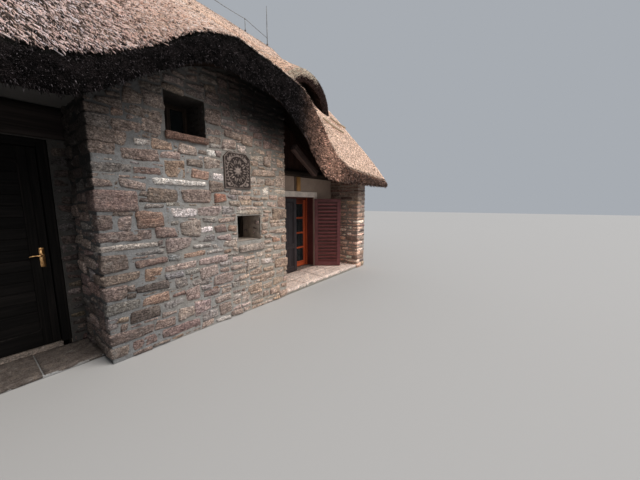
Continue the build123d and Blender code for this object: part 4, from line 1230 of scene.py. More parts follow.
holes = []
for z0, z1 in ((1.15, 1.75), (3.30, 3.90)):
    holes.append((outer_path.s[2] + 3.72, outer_path.s[2] + 4.28, z0 - 0.09, z1))
    holes.append((outer_path.s[4] + 3.72, outer_path.s[4] + 4.28, z0 - 0.09, z1))
for xc in (-1.9, 0.35, 2.45, 4.55):
    u = outer_path.s[3] + (6.09 - xc)
    holes.append((u - 0.30, u + 0.30, 0.96, 1.70))
outer = course_stones(outer_path.s[-1], outer_top, holes, corner_u, 31, MIX_BAY)


def porch_side(st):
    """The porch's side wall: redder stones, lightened about twofold as painted light and darkened under the thatch as
    painted shade.
    """
    if st[0] > 0.9:
        return st
    k = 1.0 - 0.55 * float(smoothstep(1.55, 2.05, (st[2] + st[3]) / 2))
    c = np.array(st[4:7])
    g = float(c @ [0.3, 0.5, 0.2])
    c = (g + (c - g) * 0.6) * np.array([2.38, 1.92, 1.66]) * k
    return (*st[:4], *np.clip(c, 0, 0.8), st[7])


outer = [porch_side(s) for s in outer]
cuts = [(0, 1.0, "porch_side_stones"), (1.0, outer_path.s[2] + 4.0, "right_gable_stones"), (outer_path.s[2] + 4.0, outer_path.s[3], "right_gable_rear_stones"),
        (outer_path.s[3], outer_path.s[4], "rear_stones"), (outer_path.s[4], outer_path.s[4] + 4.0, "left_gable_rear_stones"),
        (outer_path.s[4] + 4.0, 99, "left_gable_stones")]
for a, c, name in cuts:
    part = [s for s in outer if a <= (s[0] + s[1]) / 2 < c]
    b = Build()
    near_ = name == "porch_side_stones"
    stones_to(b, outer_path, part, 131 + len(part), fine=0.75 if near_ else 0.48, corners=[(c_, 0) for c_ in corner_u], lean=not near_)
    b.make(name, [M_STONE])

# recess of the entrance: a band of wall on both sides of the door, its stones darkened as painted shade of the recess
entry_path = Path([(-2.88, 0.9), (0.0, 0.9)])
entry_holes = [(-1.27 + 2.88 - 0.01, -0.17 + 2.88 + 0.01, 0.0, 2.54)]
part = course_stones(2.88, lambda u: 0 * np.asarray(u) + 2.53, entry_holes, [], 47, MIX_BAY)
b = Build()
part = [(*s[:4], *(np.array(s[4:7]) * 0.30), s[7]) for s in part]
stones_to(b, entry_path, part, 151, fine=0.7, base_prot=0.008)
b.make("entry_recess_stones", [M_STONE])


# ---------------------------------------------------------------------------
# thatch
# ---------------------------------------------------------------------------
TAN = srgb(236, 210, 196)
REED = [srgb(244, 228, 216), srgb(238, 216, 202), srgb(216, 194, 182), srgb(250, 241, 234), srgb(182, 160, 148), srgb(230, 206, 188)]


def displace_top(P, N, gco, seed, amp=1.0):
    """Uneven thatch: slow swells and combed reed clumps."""
    big = fbm(P * 1.3, seed, 2) * 0.020
    mid = fbm(np.stack([gco[..., 0] * 9, gco[..., 1] * 5, gco[..., 2] * 5], -1), seed + 3, 3) * 0.015
    comb = fbm(np.stack([gco[..., 0] * 34, gco[..., 1] * 8, gco[..., 2] * 8], -1), seed + 5, 2) * 0.007
    return P + N * (amp * (big + mid + comb))[..., None]


def grid_normals(P):
    du = np.gradient(P, axis=0)
    dv = np.gradient(P, axis=1)
    n = np.cross(du, dv)
    return n / np.maximum(np.linalg.norm(n, axis=-1, keepdims=True), 1e-9)


DM_HOLE = (4.62, 5.38, 1.90, 2.85)


def open_reed_and_gap_shade(x, y):
    """Where the reed is old and open, low on the slope left of the bay's
    middle; there the base gets painted shade between the pale stems. It fades out upwards."""
    x, y = np.broadcast_arrays(np.asarray(x, float), np.asarray(y, float))
    wob = 0.30 * noise3(np.stack([x * 1.1, 0.5 * y, 0 * x], -1), 877)
    return smoothstep(2.3, -0.3, x) * smoothstep(1.02, 0.30, y + wob * smoothstep(0.35, 0.8, y)) ** 0.8 * (0.50 + 0.50 * smoothstep(-2.6, -0.8, x))


def painted_sun_patch(x, y):
    """The reed over the bay is lightened a little, as painted sunlight."""
    return 1 + 0.10 * smoothstep(0.2, 1.4, x) * smoothstep(4.0, 3.2, x) * smoothstep(1.9, 0.9, y)


def slope_strokes(b, pts, nor, down, length, width, r, tint, lift=0.010, spread=0.3):
    """Little reed ends lying on the slope: closed slivers, butt end downhill."""
    k = len(pts)
    side = np.cross(nor, down)
    ang = r.normal(0, spread, k)[:, None]
    d = down * np.cos(ang) + side * np.sin(ang)
    s = np.cross(nor, d)
    L = (length * r.uniform(0.55, 1.35, k))[:, None]
    W = (width * r.uniform(0.6, 1.4, k))[:, None]
    up = (lift * r.uniform(0.3, 1.5, k))[:, None]
    tail = pts - d * L * 0.6 - nor * 0.006
    head = pts + d * L * 0.4
    a = head - s * W / 2 - nor * 0.004
    c = head + s * W / 2 - nor * 0.004
    e = head + nor * up + d * W * 0.3
    V = np.stack([tail, a, c, e], 1).reshape(-1, 3)
    base = (np.arange(k) * 4)[:, None]
    T = np.concatenate([base + np.array([[0, 3, 1]]), base + np.array([[0, 2, 3]]), base + np.array([[1, 3, 2]]), base + np.array([[0, 1, 2]])])
    t = np.repeat(tint[:, None, :], 4, 1)
    # the tail end, where the stem runs under the reeds above, is darker: painted shade
    t[:, 0] *= 0.7
    b.add(V, tris=T, tint=t.reshape(-1, 3))


def front_thatch():
    xs = np.unique(np.round(np.concatenate([np.arange(VERGE_X0, VERGE_X1, 0.036), [VERGE_X1, DM_HOLE[0], DM_HOLE[1]]]), 4))
    ys = np.concatenate([np.linspace(4.0, 2.85, 28)[:-1], np.linspace(2.85, 1.90, 24)[:-1], np.linspace(1.90, -0.42, 58)])
    nx = len(xs)
    X, Y = np.meshgrid(xs, ys, indexing="ij")
    Zt = top_z(X, Y)
    P = np.stack([X, Y, Zt], -1)
    N = -grid_normals(P)
    N = np.where(N[..., 2:3] < 0, -N, N)
    g = np.stack([X, Y * 1.41, 0 * X], -1)
    keep_end = smoothstep(0.0, 0.10, 4.0 - Y)
    D = displace_top(P, N, g, 5, 1 - 0.60 * smoothstep(3.3, 4.1, X))
    P = P * (1 - keep_end[..., None]) + D * keep_end[..., None]
    # eave: rounded shoulder, ragged cut face, soft lower lip, underside
    U, L, B = upper_edge(xs), lower_edge(xs), wall_under(xs)
    prof, kinds, G = [], [], []
    ts = np.linspace(0, 1, 13)
    for t in ts:
        z = U + 0.005 + (L - U - 0.005) * t
        y = -0.50 + 0.035 * (1 - t) ** 6 + 0.030 * t ** 8
        bulge = 0.018 * np.sin(np.pi * t)
        wob = 0.022 * fbm(np.stack([xs * 6, z * 8, 0 * xs + 1.1], -1), 71, 3) + 0.017 * fbm(np.stack([xs * 24, z * 26, 0 * xs], -1), 73, 2)
        prof.append(np.stack([xs, y - bulge * 0.3 + wob * (0.4 + 0.6 * np.sin(np.pi * np.clip(t, 0.1, 0.9))), z + 0.012 * fbm(np.stack([xs * 9, 0 * xs, 0 * xs + t], -1), 75, 3)], -1))
        G.append(np.stack([xs, z, 0 * xs], -1))
    yu = np.concatenate([np.linspace(-0.42, 0.0, 10), np.linspace(0.1, 1.2, 8), [1.6, 1.90, 2.2, 2.5, 2.85, 3.3, 4.0]])
    for y in yu:
        z = under_z(xs, y + 0 * xs)
        wob = 0.010 * fbm(np.stack([xs * 14, 0 * xs + y * 14, 0 * xs], -1), 77, 3) * (y < 0.0) * (xs < 9)
        prof.append(np.stack([xs, y + 0 * xs, z + wob], -1))
        G.append(np.stack([xs, 0 * xs + y, 0 * xs + 4.0], -1))
    E = np.stack(prof, 1)
    P = np.concatenate([P, E], 1)
    G = np.concatenate([g, np.stack(G, 1)], 1)
    nt, ne = len(ys), len(ts)
    total = P.shape[1]
    q = grid_quads(nx, total)
    col = q[:, 0] % total
    row = q[:, 0] // total
    ctr = P.reshape(-1, 3)[q].mean(1)
    kind = np.where(col < nt - 1, 0, np.where(col < nt + ne, 1, 2))
    hole = (ctr[:, 0] > DM_HOLE[0]) & (ctr[:, 0] < DM_HOLE[1]) & (ctr[:, 1] > DM_HOLE[2]) & (ctr[:, 1] < DM_HOLE[3])
    q, kind = q[~hole], kind[~hole]
    # colour; shade and rim_dark are painted shade, between the open reeds and at the eave's shoulder
    tint = np.ones((nx, total, 3))
    near = open_reed_and_gap_shade(X, Y)
    # rim_dark is painted shade where the top rolls over to the cut face
    rim_dark = 0.6 * smoothstep(-0.37, -0.46, Y) * smoothstep(3.4, 2.2, X)
    shade = ((1.0 - 0.88 * near ** 2.2) * (1 - rim_dark))[..., None]
    n1 = (1 + 0.08 * fbm(np.stack([X * 2, Y * 2, 0 * X], -1), 91, 3))[..., None]
    tint[:, :nt] = TAN * shade * n1 * painted_sun_patch(X, Y)[..., None]
    # the cut face is dark, as weathered reed ends together with painted shadow of the eave, with a greenish-black upper
    # rim;
    # where the arch comes down on the right it is painted redder and paler as painted sunlight, and past x 3.9 shade_r
    # darkens it again as painted shade
    sun_on_right = smoothstep(2.62, 3.50, xs)[:, None]
    dark = srgb(48, 44, 46)
    warm = srgb(222, 184, 166)
    for k in range(ne):
        rimc = np.exp(-((ts[k] - 0.04) / 0.10) ** 2)
        cc = dark * 0.85 * (1 - sun_on_right) + warm * sun_on_right
        cc = cc * (1 - 0.45 * rimc * (1 - sun_on_right)) + np.array([0.0, 0.004, 0.001]) * rimc
        spot = smoothstep(-0.32, 0.42, fbm(np.stack([xs * 24, (U + (L - U) * ts[k]) * 24, 0 * xs + 2.2], -1), 433, 3))[:, None]
        tint[:, nt + k] = cc * ((0.42 + 1.15 * spot) * (1 - sun_on_right) + (0.72 + 0.40 * spot) * sun_on_right)
    shade_r = smoothstep(3.9, 4.3, xs)[:, None]
    for k in range(nt + ne, total):
        tint[:, k] = srgb(70, 56, 48)
    tint[:, nt:nt + ne] = tint[:, nt:nt + ne] * (1 - shade_r[:, None, :] * (1 - np.array([0.46, 0.40, 0.37])))
    b = Build()
    b.add(P, quads=q[:, ::-1], tint=tint.reshape(-1, 3), gco=G.reshape(-1, 3), mat=kind)
    # the four sides of the dormer's opening
    i0, i1 = int(np.argmin(abs(xs - DM_HOLE[0]))), int(np.argmin(abs(xs - DM_HOLE[1])))
    tcol = [int(np.argmin(abs(ys - v))) for v in (DM_HOLE[3], DM_HOLE[2])]
    ucol = [nt + ne + int(np.argmin(abs(yu - v))) for v in (DM_HOLE[2], DM_HOLE[3])]
    polys = []
    for i, rev in ((i0, False), (i1, True)):
        ring = [i * total + c for c in range(tcol[0], tcol[1] + 1)] + [i * total + c for c in range(ucol[0], ucol[1] + 1)]
        polys.append(ring[::-1] if rev else ring)
    for tc, uc, rev in ((tcol[0], ucol[1], True), (tcol[1], ucol[0], False)):
        ring = [i * total + tc for i in range(i0, i1 + 1)] + [i * total + uc for i in range(i1, i0 - 1, -1)]
        polys.append(ring[::-1] if rev else ring)
    # ends at the verges and the plane at the ridge
    for i, rev in ((0, True), (nx - 1, False)):
        ring = [i * total + c for c in range(total)]
        polys.append(ring[::-1] if rev else ring)
    b.polys += polys
    b.pm += [1] * 4 + [1, 1]
    b.make("thatch_front", [M_TOP, M_EDGE, M_EDGE],
           replaces=["thatch_front_left", "thatch_eyebrow_left", "thatch_eyebrow_right", "thatch_eyebrow_end", "thatch_front_right"])
    return xs, ys


front_thatch()


def surface_point(x, y):
    """Point, normal and downhill direction on the front slope."""
    e = 0.01
    z = top_z(x, y)
    zx = (top_z(x + e, y) - top_z(x - e, y)) / (2 * e)
    zy = (top_z(x, y + e) - top_z(x, y - e)) / (2 * e)
    n = np.stack([-zx, -zy, np.ones_like(zx)], -1)
    n /= np.linalg.norm(n, axis=-1, keepdims=True)
    d = np.stack([-zx * 0.25, -np.ones_like(zx), -zy], -1)
    d -= (d * n).sum(-1, keepdims=True) * n
    d /= np.linalg.norm(d, axis=-1, keepdims=True)
    p = np.stack([x, y, z], -1)
    g = np.stack([x, y * 1.41, 0 * x], -1)
    return displace_top(p[None], n[None], g[None], 5, 1 - 0.60 * smoothstep(3.3, 4.1, x))[0], n, d


def hood_z(xc, x, y):
    """Height of the dormer's hood over (x, y), or a low value outside it."""
    t = np.clip((y - 1.20) / (3.25 - 1.20), 0, 1)
    hw = 0.95 + (0.42 - 0.95) * t
    crest = 5.27 + (float(plain(3.25)) + 0.03 - 5.27) * t
    base = 4.35 + (float(plain(3.25)) - 0.45 - 4.35) * t
    s = np.clip(np.abs(x - xc) / hw, 0, 1)
    return np.where(s < 1, base + (crest - base) * np.sqrt(np.clip(1 - s ** 2, 0, 1)) ** 0.9, -9)


def capped(tint, most=0.93):
    """Keeps the brightest channel under a limit, and the hue as it is."""
    return np.clip(tint * np.minimum(1.0, most / np.maximum(tint.max(-1, keepdims=True), 1e-6)), 0, most)


def strokes_front():
    """Short reed ends all over the front slope, closest above the entrance
    and the bay, where they are seen from near by."""
    r = rng(77)
    sets = (
        # name, count, x from, x to, y from, y to, power, length, width
        ("thatch_reeds_near", 60000, VERGE_X0 + 0.02, 3.2, -0.478, 1.12, 1.1, 0.104, 0.0050),
        ("thatch_reeds_upper", 26000, VERGE_X0 + 0.03, 5.2, 0.3, 3.42, 1.0, 0.092, 0.0130),
        ("thatch_reeds_rest", 9500, VERGE_X0 + 0.03, VERGE_X1 - 0.03, -0.47, 3.42, 1.3, 0.075, 0.0100),
        ("thatch_reeds_right", 5500, 3.7, VERGE_X1 - 0.03, -0.47, 1.4, 1.0, 0.055, 0.0075),
        ("thatch_reeds_ridge", 5500, VERGE_X0 + 0.03, VERGE_X1 - 0.03, 3.45, 3.99, 1.0, 0.095, 0.0150),
    )
    for name, n, xa, xb, ya, yb, pw, ln, wd in sets:
        b = Build()
        x = xa + (xb - xa) * r.random(n)
        y = ya + (yb - ya) * r.random(n) ** pw
        hz = hood_z(5.0, x, y)
        keep = ~((y > 1.15) & (hz > top_z(x, y) - 0.05))
        if name.endswith("near"):
            keep &= r.random(n) < 0.04 + 0.96 * np.clip(1.20 * open_reed_and_gap_shade(x, y) + 0.25 * smoothstep(3.0, 2.0, x) * smoothstep(0.9, 0.5, y) * smoothstep(-2.0, -1.0, x), 0, 1) * (0.55 + 0.45 * smoothstep(-1.9, -1.0, x))
        if name.endswith("upper"):
            keep &= r.random(n) < 0.22 + 0.78 * smoothstep(-1.5, 1.2, x)
        x, y = x[keep], y[keep]
        k = len(x)
        p, nn, d = surface_point(x, y)
        if name.endswith("ridge"):
            p = np.stack([x, y, plain(y) + np.interp(y, [3.45, 3.55, 3.82, 4.0], [0.082, 0.088, 0.082, 0.086])], -1)
        # the reeds run a little towards the bay
        side = np.cross(nn, d)
        lean = (0.24 * smoothstep(3.2, 0.8, x))[:, None]
        d = d * np.cos(lean) + side * np.sin(lean) * np.sign(side[:, :1] + 1e-9)
        d /= np.linalg.norm(d, axis=-1, keepdims=True)
        pick = r.integers(0, len(REED), k)
        near = open_reed_and_gap_shade(x, y)
        clump = fbm(np.stack([x * 5, y * 4, 0 * x], -1), 431, 2)
        gain = np.where(r.random(k) < 0.33 * near + 0.04, r.uniform(0.02, 0.22, k), r.uniform(1.45, 2.6, k) * (1 + 0.35 * clump))
        far_ = np.where(r.random(k) < 0.36, r.uniform(0.08, 0.45, k), r.uniform(1.0, 1.45, k))
        right_ = smoothstep(3.4, 4.0, x) * smoothstep(1.8, 1.2, y)
        far_ = far_ * (1 - right_) + right_ * np.where(r.random(k) < 0.42, r.uniform(0.30, 0.70, k), r.uniform(0.90, 1.15, k))
        gain = gain * near + (1 - near) * far_ * painted_sun_patch(x, y)
        # strokes near the eave's shoulder, and low over the entrance, are darkened as painted shade
        rim_ = smoothstep(-0.41, -0.475, y) * smoothstep(3.4, 2.2, x)
        left_ = smoothstep(-0.14, -0.42, y) * smoothstep(0.1, -0.9, x) * smoothstep(-2.0, -1.1, x)
        fade = (1 - 0.80 * rim_ * (r.random(k) < 0.65)) * (1 - 0.75 * left_ * (r.random(k) < 0.75))
        tint = np.array(REED)[pick] * (gain * fade)[:, None]
        tone_ = np.array([1.03, 1.04, 1.17]) * (1 - smoothstep(-0.1, 0.8, x))[:, None] + np.array([1.10, 1.02, 1.06]) * smoothstep(-0.1, 0.8, x)[:, None]
        tint = capped(tint * (1 - near[:, None] * (1 - tone_)))
        tint = tint * (1 - right_[:, None] * (1 - np.array([1.0, 0.955, 0.90])))
        long_ = np.where(r.random(k) < 0.025 * near, 2.2, 1.0)
        slope_strokes(b, p, nn, d, ln * long_, wd, r, capped(tint * np.where(long_ > 1, 1.3, 1.0)[:, None]), lift=0.009, spread=0.30)
        b.make(name, [M_REED])


def reed_material(name):
    m = Mat(name, rough=0.8, base=(0.5, 0.4, 0.32))
    m.p.inputs["Specular IOR Level"].default_value = 0.25
    co = m.coords()
    n = m.noise(co, 60, 3, 0.6)
    c = m.mix(m.tint(), m.ramp(n, [(0.3, (0.68, 0.64, 0.62)), (0.6, (1.12, 1.1, 1.08))]), 0.8, "MULTIPLY")
    m.color(c)
    m.normal(m.bump(m.noise(co, 220, 2, 0.6), 0.3, 0.002))
    return m.mat


M_REED = reed_material("loose_reeds")
strokes_front()


def eave_bristles():
    """Reed ends on the cut face and along its two rims."""
    r = rng(83)
    b = Build()
    n = 21000
    x = VERGE_X0 + 0.01 + (VERGE_X1 - VERGE_X0 - 0.02) * r.random(n)
    # more of them over the entrance and the bay
    x = np.where(r.random(n) < 0.45, -0.95 + 4.4 * r.random(n), x)
    t = r.random(n)
    U, L = upper_edge(x), lower_edge(x)
    z = U + (L - U) * t
    wob = 0.022 * fbm(np.stack([x * 6, z * 8, 0 * x + 1.1], -1), 71, 3)
    y = -0.50 + 0.035 * (1 - t) ** 6 + 0.030 * t ** 8 + wob * 0.7
    p = np.stack([x, y, z], -1)
    d = np.stack([r.normal(0, 0.30, n), -np.ones(n) * 0.8, -0.45 + r.normal(0, 0.35, n)], -1)
    # at the lower rim they hang
    hang = smoothstep(0.86, 1.0, t)[:, None]
    d = d * (1 - 0.75 * hang) + np.array([0, -0.25, -1.0]) * hang
    top = smoothstep(0.12, 0.0, t)[:, None]
    d = d * (1 - top) + (np.array([0, -0.8, 0.15]) + np.stack([r.normal(0, 0.3, n), 0 * x, r.normal(0, 0.3, n)], -1)) * top
    d /= np.linalg.norm(d, axis=-1, keepdims=True)
    L0 = (0.012 + 0.030 * r.random(n) ** 2 + 0.035 * hang[:, 0] * r.random(n) + 0.014 * smoothstep(1.5, 3.2, x))[:, None]
    W = ((0.0055 + 0.0035 * smoothstep(1.5, 3.2, x)) * r.uniform(0.6, 1.5, n))[:, None]
    a1 = np.cross(d, np.array([0.3, 0.1, 1.0]))
    a1 /= np.linalg.norm(a1, axis=-1, keepdims=True)
    a2 = np.cross(d, a1)
    tail = p - d * 0.012
    V = np.stack([tail + a1 * W, tail - a1 * W * 0.6 + a2 * W, tail - a1 * W * 0.6 - a2 * W, p + d * L0], 1)
    base = (np.arange(n) * 4)[:, None]
    T = np.concatenate([base + np.array([[0, 1, 3]]), base + np.array([[1, 2, 3]]), base + np.array([[2, 0, 3]]), base + np.array([[0, 2, 1]])])
    # the reed ends are painted warm and pale where the arch comes down on the right, as painted sunlight, less again
    # past x 3.9 as painted shade; the dark ones elsewhere are weathered ends together with painted shadow of the eave
    sun_on_right = smoothstep(2.62, 3.50, x)[:, None] * (1 - 0.66 * smoothstep(3.9, 4.3, x))[:, None]
    dark, warm = srgb(52, 47, 48), srgb(236, 198, 180)
    tint = dark * (1 - sun_on_right) + warm * sun_on_right
    bright = (r.random(n) < 0.24)[:, None]
    speck = (srgb(120, 114, 118) * (1 - sun_on_right) + srgb(176, 150, 138) * sun_on_right) * (0.18 + 1.22 * r.random(n)[:, None] ** 2)
    spot = smoothstep(-0.32, 0.42, fbm(np.stack([x * 24, z * 24, 0 * x + 2.2], -1), 433, 3))
    spot = (0.42 + 1.15 * spot) * (1 - sun_on_right[:, 0]) + (0.72 + 0.40 * spot) * sun_on_right[:, 0]
    spot = spot * np.where(r.random(n) < 0.50 * np.clip(sun_on_right[:, 0] * 1.5, 0, 1), r.uniform(0.10, 0.45, n), 1.0 + 0.55 * sun_on_right[:, 0])
    tint = np.where(bright, speck, tint * (r.uniform(0.35, 1.35, n) * spot)[:, None])
    rim = np.exp(-(t / 0.08) ** 2)[:, None] * (1 - sun_on_right)
    tint = tint * (1 - 0.35 * rim)
    b.add(V.reshape(-1, 3), tris=T, tint=np.repeat(tint[:, None, :], 4, 1).reshape(-1, 3))
    b.make("thatch_eave_bristles", [M_REED])


eave_bristles()


def back_thatch():
    xs = np.unique(np.round(np.concatenate([np.arange(VERGE_X0, VERGE_X1, 0.06), [VERGE_X1, 1.405 - 0.38, 1.405 + 0.38]]), 4))
    ys = np.concatenate([np.linspace(4.0, 5.15, 17)[:-1], np.linspace(5.15, 6.10, 14)[:-1], np.linspace(6.10, 8.44, 34)])
    X, Y = np.meshgrid(xs, ys, indexing="ij")
    Zt = plain(8.0 - Y)
    P = np.stack([X, Y, Zt], -1)
    N = grid_normals(P)
    N = np.where(N[..., 2:3] < 0, -N, N)
    g = np.stack([X + 20, Y * 1.41, 0 * X], -1)
    keep_end = smoothstep(0.0, 0.10, Y - 4.0)
    D = displace_top(P, N, g, 9)
    P = P * (1 - keep_end[..., None]) + D * keep_end[..., None]
    prof, G = [], []
    ts = np.linspace(0, 1, 8)
    for t in ts:
        z = 2.48 + (2.27 - 2.48) * t + 0 * xs
        y = 8.50 - 0.035 * (1 - t) ** 6 - 0.03 * t ** 8
        wob = 0.020 * fbm(np.stack([xs * 6, z * 8, 0 * xs + 5], -1), 72, 3)
        prof.append(np.stack([xs, y + wob - 0.01, z + 0.012 * fbm(np.stack([xs * 9, 0 * xs, 0 * xs + t + 3], -1), 76, 3)], -1))
        G.append(np.stack([xs, z, 0 * xs], -1))
    yu = np.array([8.42, 8.2, 8.0, 7.7, 7.4, 7.0, 6.7, 6.10, 5.6, 5.15, 4.6, 4.0])
    for y in yu:
        z = np.interp(y, [4.0, 6.7, 7.4, 8.0, 8.5], [6.74, float(plain(1.3)) - 0.5, 2.90, 2.35, 2.27])
        prof.append(np.stack([xs, y + 0 * xs, z + 0 * xs], -1))
        G.append(np.stack([xs, 0 * xs + y, 0 * xs + 4], -1))
    E = np.stack(prof, 1)
    P, G = np.concatenate([P, E], 1), np.concatenate([g, np.stack(G, 1)], 1)
    nt, ne, total, nx = len(ys), len(ts), P.shape[1], len(xs)
    q = grid_quads(nx, total)
    col = q[:, 0] % total
    ctr = P.reshape(-1, 3)[q].mean(1)
    kind = np.where(col < nt - 1, 0, np.where(col < nt + ne, 1, 2))
    hole = (abs(ctr[:, 0] - 1.405) < 0.38) & (ctr[:, 1] > 5.15) & (ctr[:, 1] < 6.10)
    tint = np.ones((nx, total, 3))
    tint[:, :nt] = TAN * 0.92 * (1 + 0.10 * fbm(np.stack([X * 2, Y * 2, 0 * X], -1), 92, 3))[..., None]
    tint[:, nt:nt + ne] = srgb(74, 62, 56)
    tint[:, nt + ne:] = srgb(70, 56, 48)
    b = Build()
    b.add(P, quads=q[~hole], tint=tint.reshape(-1, 3), gco=G.reshape(-1, 3), mat=kind[~hole])
    i0, i1 = int(np.argmin(abs(xs - 1.025))), int(np.argmin(abs(xs - 1.785)))
    tcol = [int(np.argmin(abs(ys - v))) for v in (5.15, 6.10)]
    ucol = [nt + ne + int(np.argmin(abs(yu - v))) for v in (6.10, 5.15)]
    polys = []
    for i, rev in ((i0, True), (i1, False)):
        ring = [i * total + c for c in range(tcol[0], tcol[1] + 1)] + [i * total + c for c in range(ucol[0], ucol[1] + 1)]
        polys.append(ring[::-1] if rev else ring)
    for tc, uc, rev in ((tcol[0], ucol[1], False), (tcol[1], ucol[0], True)):
        ring = [i * total + tc for i in range(i0, i1 + 1)] + [i * total + uc for i in range(i1, i0 - 1, -1)]
        polys.append(ring[::-1] if rev else ring)
    for i, rev in ((0, False), (nx - 1, True)):
        ring = [i * total + c for c in range(total)]
        polys.append(ring[::-1] if rev else ring)
    b.polys += polys
    b.pm += [1] * 6
    b.make("thatch_rear", [M_TOP, M_EDGE, M_EDGE], replaces=["thatch_back"])


back_thatch()


def ridge_cap():
    """Thick saddle over the ridge, with an uneven lower edge."""
    xs = np.arange(VERGE_X0, VERGE_X1 + 0.001, 0.06)
    xs[-1] = VERGE_X1
    pts = [(3.42, 0.00), (3.40, 0.05), (3.44, 0.085), (3.55, 0.09), (3.70, 0.09), (3.82, 0.085), (3.92, 0.09), (4.0, 0.10)]
    pts = pts + [(8.0 - y, h) for y, h in reversed(pts[:-1])]
    rows_, gs = [], []
    s = 0.0
    for k, (y, h) in enumerate(pts):
        yy = y if y <= 4.0 else 8.0 - y
        z = plain(np.array(yy)) + h
        if abs(y - 4.0) < 0.13:
            z = z - 0.02 + 0.02 * (abs(y - 4.0) / 0.13)
        edge = 1.0 if k in (0, 1, 2, len(pts) - 1, len(pts) - 2, len(pts) - 3) else 0.3
        wob = 0.030 * fbm(np.stack([xs * 2.2, 0 * xs + (y > 4), 0 * xs], -1), 95, 3) * edge
        sign = -1 if y < 4.0 else 1
        rows_.append(np.stack([xs, y + wob * sign, z - wob * 0.95 + 0.006 * fbm(np.stack([xs * 20, 0 * xs + y * 20, 0 * xs], -1), 96, 2)], -1))
        gs.append(np.stack([xs, 0 * xs + y * 1.41, 0 * xs + 2], -1))
    P, G = np.stack(rows_, 1), np.stack(gs, 1)
    # close it underneath, on the slopes
    under = [(4.58, 0.004), (4.0, 0.004), (3.43, 0.004)]
    for y, h in under:
        yy = y if y <= 4.0 else 8.0 - y
        P = np.concatenate([P, np.stack([xs, y + 0 * xs, float(plain(np.array(yy))) + h - 0.02 + 0 * xs], -1)[:, None]], 1)
        G = np.concatenate([G, np.stack([xs, 0 * xs + y, 0 * xs], -1)[:, None]], 1)
    total = P.shape[1]
    P = np.concatenate([P, P[:, :1]], 1)
    G = np.concatenate([G, G[:, :1]], 1)
    q = grid_quads(len(xs), total + 1)
    b = Build()
    t = TAN * 0.9 * (1 + 0.1 * fbm(P * 3, 97, 2))[..., None]
    b.add(P, quads=q, tint=t.reshape(-1, 3), gco=G.reshape(-1, 3))
    b.polys += [[c for c in range(total)][::-1], [(len(xs) - 1) * (total + 1) + c for c in range(total)]]
    b.pm += [0, 0]
    b.make("thatch_ridge", [M_TOP], replaces=["thatch_ridge_cap"])


ridge_cap()


